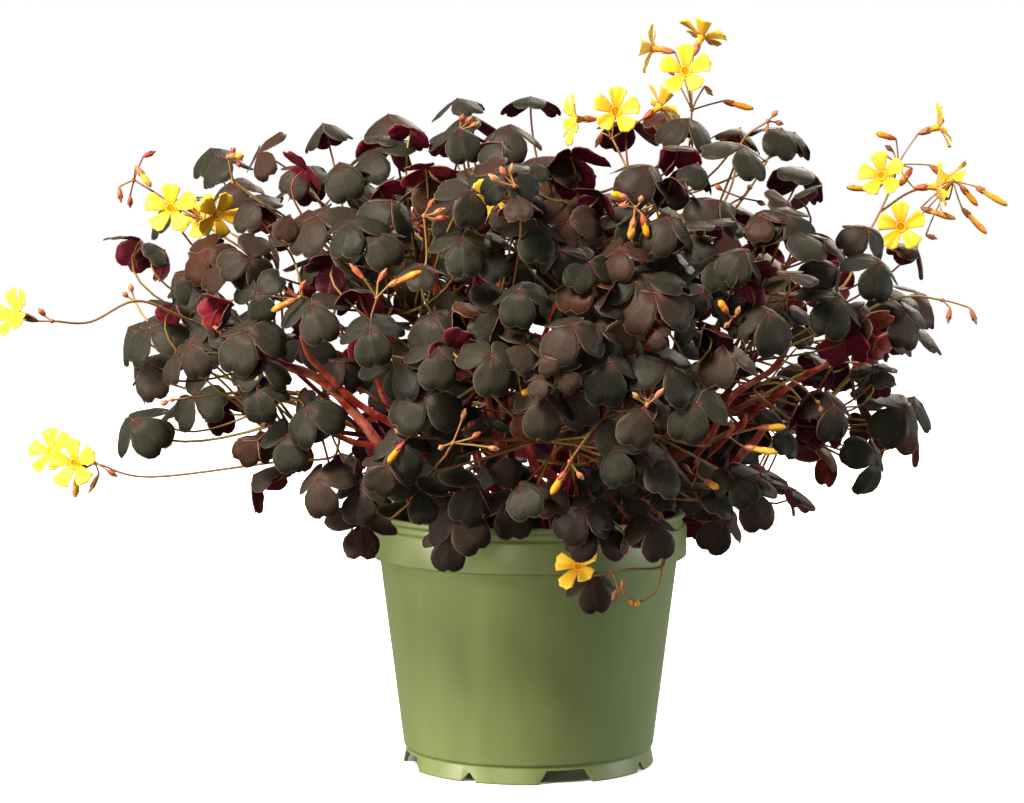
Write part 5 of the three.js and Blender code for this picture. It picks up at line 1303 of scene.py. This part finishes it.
def grow_corolla(name, foot, way, index, node):
    """An open corolla in one piece: a funnel with an inner face, and five petals, each a thin skin whose half
    width grows and whose outer corners are rounded off along it, cupped and lifted at one side"""
    growth = Growth()
    turned(growth, foot, way, TUBE_RINGS, 0, 20)
    side = unit(np.cross(way, TUBE_SIDE))
    over = np.cross(way, side)
    u, v = np.meshgrid(np.linspace(0, 1, PETAL_ROWS), np.linspace(-1, 1, PETAL_COLUMNS), indexing="ij")
    u, v = u.ravel(), v.ravel()
    draw = np.random.default_rng(LEAF_SEED + index)
    drawn = (draw.uniform(*bounds, (PETALS, 1)) for bounds in PETAL_RANGES.values())
    droop, cup, twist, ruffle, phase, length = drawn
    edge = 1 - 0.17 * np.abs(v) ** 2.4 + 0.025 * np.cos(8 * v + phase)
    out = PETAL_START + (PETAL_LENGTH * length * edge - PETAL_START) * u
    across = v * (1.3 + 3.2 * u**0.8)
    rise = TUBE_LENGTH - 0.5 + (PETAL_RISE + 0.4) * u**0.7 + droop * u**2 + cup * v**2 * u + twist * v * u
    rise = rise + ruffle * u**1.5 * np.sin(5.5 * v + phase)
    ring = 2 * np.pi * np.arange(PETALS)[:, None] / PETALS
    x = out * np.cos(ring) - across * np.sin(ring)
    y = out * np.sin(ring) + across * np.cos(ring)
    flat = foot + x[..., None] * side + y[..., None] * over
    layers = [flat + (rise + lift)[..., None] * way for lift in (0.0, -PETAL_THICKNESS)]
    uvs = np.tile(np.stack([0.5 + across / 10, 0.25 + 0.75 * u], axis=-1), (2, 1))
    growth.add(np.concatenate(layers, axis=1), skin_faces(PETAL_ROWS, PETAL_COLUMNS, 0, 0, 0), uvs)
    growth.piece(name, "petals", [PETAL], node)


# Pot and soil


def rounded(profile, radius, steps=4):
    """A profile whose corners are rounded by a bend between points a little before and after each"""
    points = [np.array([profile[0]], float)]
    for before, here, after in zip(profile, profile[1:], profile[2:]):
        before, here, after = (np.array(point, float) for point in (before, here, after))
        lengths = np.linalg.norm(before - here), np.linalg.norm(after - here)
        near = here + (before - here) * min(radius / lengths[0], 0.45)
        far = here + (after - here) * min(radius / lengths[1], 0.45)
        points.append(bend(near, here, far, np.linspace(0, 1, steps)))
    points.append(np.array([profile[-1]], float))
    return np.concatenate(points)


def notch_heights(angles, notches):
    """How high the foot ring is cut away at each angle: full between the top corners, falling off in a
    straight line to the bottom corners, four times round"""
    off = np.abs((angles - notches["start"] + 45) % 90 - 45)
    slope = (notches["bottom"] - off) / (notches["bottom"] - notches["top"])
    return notches["height"] * np.clip(slope, 0, 1)


def make_pot():
    """The pot: a rounded profile turned about its axis, the foot ring's lowest points raised in the notches,
    and drain holes cut in its floor"""
    inner_groove, inner_base = GROOVE_RADIUS - WALL, BASE_RADIUS - WALL
    inner_floor, inner_foot, inner_toe = FLOOR_HEIGHT + WALL, FOOT_RADIUS - WALL, TOE_RADIUS - TOE_WIDTH
    profile = rounded([
        (FLOOR_DISC, FLOOR_HEIGHT), (inner_foot, FLOOR_HEIGHT), (inner_toe, 0), (TOE_RADIUS, 0),
        (FOOT_RADIUS, FOOT_HEIGHT), (BASE_RADIUS, FOOT_HEIGHT + 1), (SHOULDER_RADIUS, BAND_BOTTOM),
        (RIM_RADIUS, BAND_BOTTOM + 0.4), (RIM_RADIUS, BAND_TOP), (GROOVE_RADIUS, BAND_TOP + 0.8),
        (GROOVE_RADIUS, LIP_BOTTOM), (LIP_RADIUS, LIP_BOTTOM + 0.6), (LIP_RADIUS, POT_HEIGHT),
        (inner_groove, POT_HEIGHT), (inner_groove, BAND_TOP), (SHOULDER_RADIUS - WALL, BAND_BOTTOM - 1.6),
        (inner_base, inner_floor), (FLOOR_DISC, inner_floor),
    ], CORNER_ROUND)
    angles = [np.arange(0, 360, 2.0)]
    for notches in (BIG_NOTCHES, SMALL_NOTCHES):
        for corner in ("bottom", "top"):
            for sign in (-1, 1):
                angles.append((notches["start"] + sign * notches[corner] + 90 * np.arange(4)) % 360)
    angles = np.unique(np.concatenate(angles).round(4))
    raised = np.maximum(notch_heights(angles, BIG_NOTCHES), notch_heights(angles, SMALL_NOTCHES))
    radius, height = (np.repeat(profile[:, i : i + 1], len(angles), axis=1) for i in (0, 1))
    low = (height < FLOOR_HEIGHT - 0.01) & (radius > inner_foot - 0.01)
    lifted = np.where(low, np.maximum(height, raised), height)
    outward = radius > (TOE_RADIUS - TOE_WIDTH / 2)
    lean = np.where(outward, (FOOT_RADIUS - TOE_RADIUS) / FOOT_HEIGHT, -0.9 / FLOOR_HEIGHT)
    radius = radius + np.where(low, (lifted - height) * lean, 0.0)
    turn = np.radians(angles)
    growth = Growth()
    growth.add_rings(np.stack([radius * np.cos(turn), radius * np.sin(turn), lifted], axis=-1)[None], 0)
    pot = growth.piece("nursery_pot", "pot", [POT_PLASTIC], "pot")
    cutters = Growth()
    for hole in range(DRAIN_HOLES):
        spot = 2 * math.pi * hole / DRAIN_HOLES
        centre = np.array([math.cos(spot), math.sin(spot), 0.0]) * DRAIN_CIRCLE
        path = centre + np.array([FLOOR_HEIGHT - 3, inner_floor + 3])[:, None] * UP
        cutters.add_rings(tubes(path[None], np.full((1, 2), DRAIN_RADIUS), 32), 0)
    punch = cutters.piece("drain_punch", "pot", [POT_PLASTIC])
    cut = pot.modifiers.new("drain holes", "BOOLEAN")
    cut.operation, cut.solver, cut.object = "DIFFERENCE", "EXACT", punch
    shaped = bpy.data.meshes.new_from_object(pot.evaluated_get(bpy.context.evaluated_depsgraph_get()))
    pot.modifiers.clear()
    pot.data = shaped
    bpy.data.objects.remove(punch)
    pot.data.set_sharp_from_angle(angle=math.radians(40))


def lumps(x, y):
    """An uneven height: a sum of sines in drawn directions, with wavelengths between two bounds"""
    draw = np.random.default_rng(LUMP_SEED)
    total = np.zeros_like(x)
    lengths = draw.uniform(*LUMP_LENGTHS, LUMP_WAVES)
    for length, turn, phase in zip(lengths, *draw.uniform(0, 2 * np.pi, (2, LUMP_WAVES))):
        pitch = 2 * np.pi / length
        total += np.sin(pitch * (x * np.cos(turn) + y * np.sin(turn)) + phase) * length / LUMP_LENGTHS[1]
    return LUMP_HEIGHT * (total / math.sqrt(LUMP_WAVES))


def make_soil():
    """The peat: a plug with an uneven crumbly top, and loose crumbs on it"""
    growth = Growth()
    shares = np.concatenate([[0.97, 0.99, 1.0], np.linspace(0.985, 0.01, SOIL_RINGS)])
    turn = np.linspace(0, 2 * np.pi, SOIL_SIDES, endpoint=False)
    edge, foot = SHOULDER_RADIUS - WALL - GAP, BASE_RADIUS - WALL - GAP
    radii = np.concatenate([[foot - 0.5, foot, edge], shares * (edge + 1.3)])
    sides = [9.0, 9.4, BAND_BOTTOM - 1.6, 104, 108, 109]
    heights = np.concatenate([sides, np.full(SOIL_RINGS, SOIL_LEVEL)])
    x, y = radii[:, None] * np.cos(turn), radii[:, None] * np.sin(turn)
    top = np.arange(len(radii))[:, None] >= len(sides)
    crown = SOIL_CROWN * np.clip(1 - (radii[:, None] / edge) ** 2, 0, 1)
    z = heights[:, None] + np.where(top, crown - SOIL_SINK + lumps(x, y), 0.0)
    growth.add_rings(np.stack([x, y, z], axis=-1)[None], 0)
    draw = np.random.default_rng(CRUMB_SEED)
    reach, spin = edge * np.sqrt(draw.uniform(0, 0.98, CRUMBS)), draw.uniform(0, 2 * np.pi, CRUMBS)
    size, lean = draw.uniform(*CRUMB_SIZES, CRUMBS), unit(draw.normal(size=(CRUMBS, 3)))
    x, y = reach * np.cos(spin), reach * np.sin(spin)
    z = SOIL_LEVEL + SOIL_CROWN * (1 - (reach / edge) ** 2) - 0.4 + lumps(x, y)
    centres = np.stack([x, y, z + 0.2], axis=-1)[:, None]
    paths = centres + (np.array([-1, -0.5, 0.4, 1]) * size[:, None])[..., None] * lean[:, None]
    growth.add_rings(tubes(paths, size[:, None] * np.array([0.3, 0.75, 0.7, 0.25]), 5), 0)
    growth.piece("potting_peat", "soil", [PEAT], "soil")


# The plant

STEM_TREES = [model_tree(f"leafy_stem_{i + 1:02d}") for i in range(sum(tier["count"] for tier in STEM_TIERS))]
STEMS, SIDE_SHOOTS = grow_lines()
LINES = STEMS + SIDE_SHOOTS
SEATS = model_seats()
PERCHES = np.concatenate([bend(*line["bend"], PERCH_PLACES) for line in LINES])
PERCH_NODES = np.repeat([line["node"] for line in LINES], len(PERCH_PLACES))
PERCH_USES = np.zeros(len(PERCHES))

model_own = model_leaves()
all_leaves = model_own[0], further_leaves(*model_own)
for node in range(len(STEMS)):
    growth = Growth()
    own, more = ([leaf for leaf in leaves if leaf["node"] == node] for leaves in all_leaves)
    grow_leaves(growth, own, *MODEL_GRID)
    if more:
        grow_leaves(growth, more, *FREE_GRID)
    grow_leaf_stalks(growth, own + more)
    for line in LINES:
        if line["node"] == node:
            grow_stem(growth, line, [leaf["foot"] for leaf in own + more])
    number = f"{node + 1:02d}"
    growth.piece(f"stem_{number}_with_leaves", "foliage", STEM_FINISHES, f"leafy_stem_{number}")

for number, stem in enumerate(SEEN_STEMS, 1):
    grow_seen_stem(f"thick_stem_{number:02d}", *stem)

all_blooms = []
for number, spray in enumerate(SPRAYS, 1):
    node_name = f"spray_{number:02d}"
    all_blooms += grow_spray(f"flower_stalk_{number:02d}", spray, model_tree(node_name), [node_name])
for number, spray in enumerate(EXTRA_SPRAYS, 1):
    grow_spray(f"small_flower_stalk_{number:02d}", spray, None, [])
for number, (place, way) in enumerate(all_blooms, 1):
    grow_corolla(f"corolla_{number:02d}", place, way, number, f"flower_{number:02d}")
make_pot()
make_soil()


# Studio

steps = np.linspace(-FLOOR_HALF, FLOOR_HALF, FLOOR_POINTS)
floor_x, floor_y = np.meshgrid(steps, steps)
floor_places = np.stack([floor_x, floor_y, np.full_like(floor_x, -FLOOR_DROP)], axis=-1).reshape(-1, 3)
floor_mesh = bpy.data.meshes.new("studio_floor")
floor_mesh.from_pydata(floor_places * MM, [], grid_faces(FLOOR_POINTS, FLOOR_POINTS).tolist())
floor_mesh.materials.append(BOARD)
floor = bpy.data.objects.new("studio_floor", floor_mesh)
bpy.context.collection.objects.link(floor)
floor.visible_diffuse = floor.visible_glossy = False


def lamp(name, place, aim, size, power, shade="#ffffff"):
    """A square soft lamp that shines from a place at an aim, both in metres"""
    data = bpy.data.lights.new(name, "AREA")
    data.shape, data.size, data.energy, data.color = "SQUARE", size, power, linear(shade)[:3]
    made = bpy.data.objects.new(name, data)
    way = unit(np.array(aim) - np.array(place))
    made.location = place
    made.rotation_euler = (math.acos(-way[2]), 0, math.atan2(way[1], way[0]) - math.pi / 2)
    bpy.context.collection.objects.link(made)


lamp("key_soft_box", (-0.95, -1.15, 1.75), (0, 0, 0.2), 0.6, 104, "#fff0e0")
lamp("front_soft_box", (-0.55, -1.9, 0.1), (0, 0, 0.05), 0.5, 10, "#fff0e0")
lamp("back_soft_box", (0.7, 1.5, 1.2), (0, 0, 0.2), 1.2, 44, "#fff2e2")
lamp("left_strip", (-1.35, -0.6, 0.1), (0, 0, 0.05), 0.4, 26, "#fff2e2")
lamp("right_strip", (1.5, 0.0, 0.2), (0, 0, 0.08), 0.5, 13)

world = bpy.data.worlds.new("white studio")
world.use_nodes = True
rays = add(world, "LightPath")
glow = SKY_LIGHT
for kind, light in (("Is Glossy Ray", GLOSS_LIGHT), ("Is Camera Ray", WHITE_LIGHT)):
    glow = add(world, "Mix", {0: rays[kind], 6: glow, 7: light}, data_type="RGBA")[2]
world.node_tree.links.new(glow, world.node_tree.nodes["Background"].inputs["Color"])
scene = bpy.context.scene
scene.world = world
scene.view_settings.view_transform = "Standard"

camera_data = bpy.data.cameras.new("front view")
camera_data.lens, camera_data.sensor_width, camera_data.clip_end = EYE_LENS, SENSOR, 100.0
camera = bpy.data.objects.new("front view", camera_data)
camera.location = np.array(EYE) * MM
camera.rotation_euler = (math.radians(90 - EYE_TILT), 0, 0)
bpy.context.collection.objects.link(camera)
scene.camera = camera
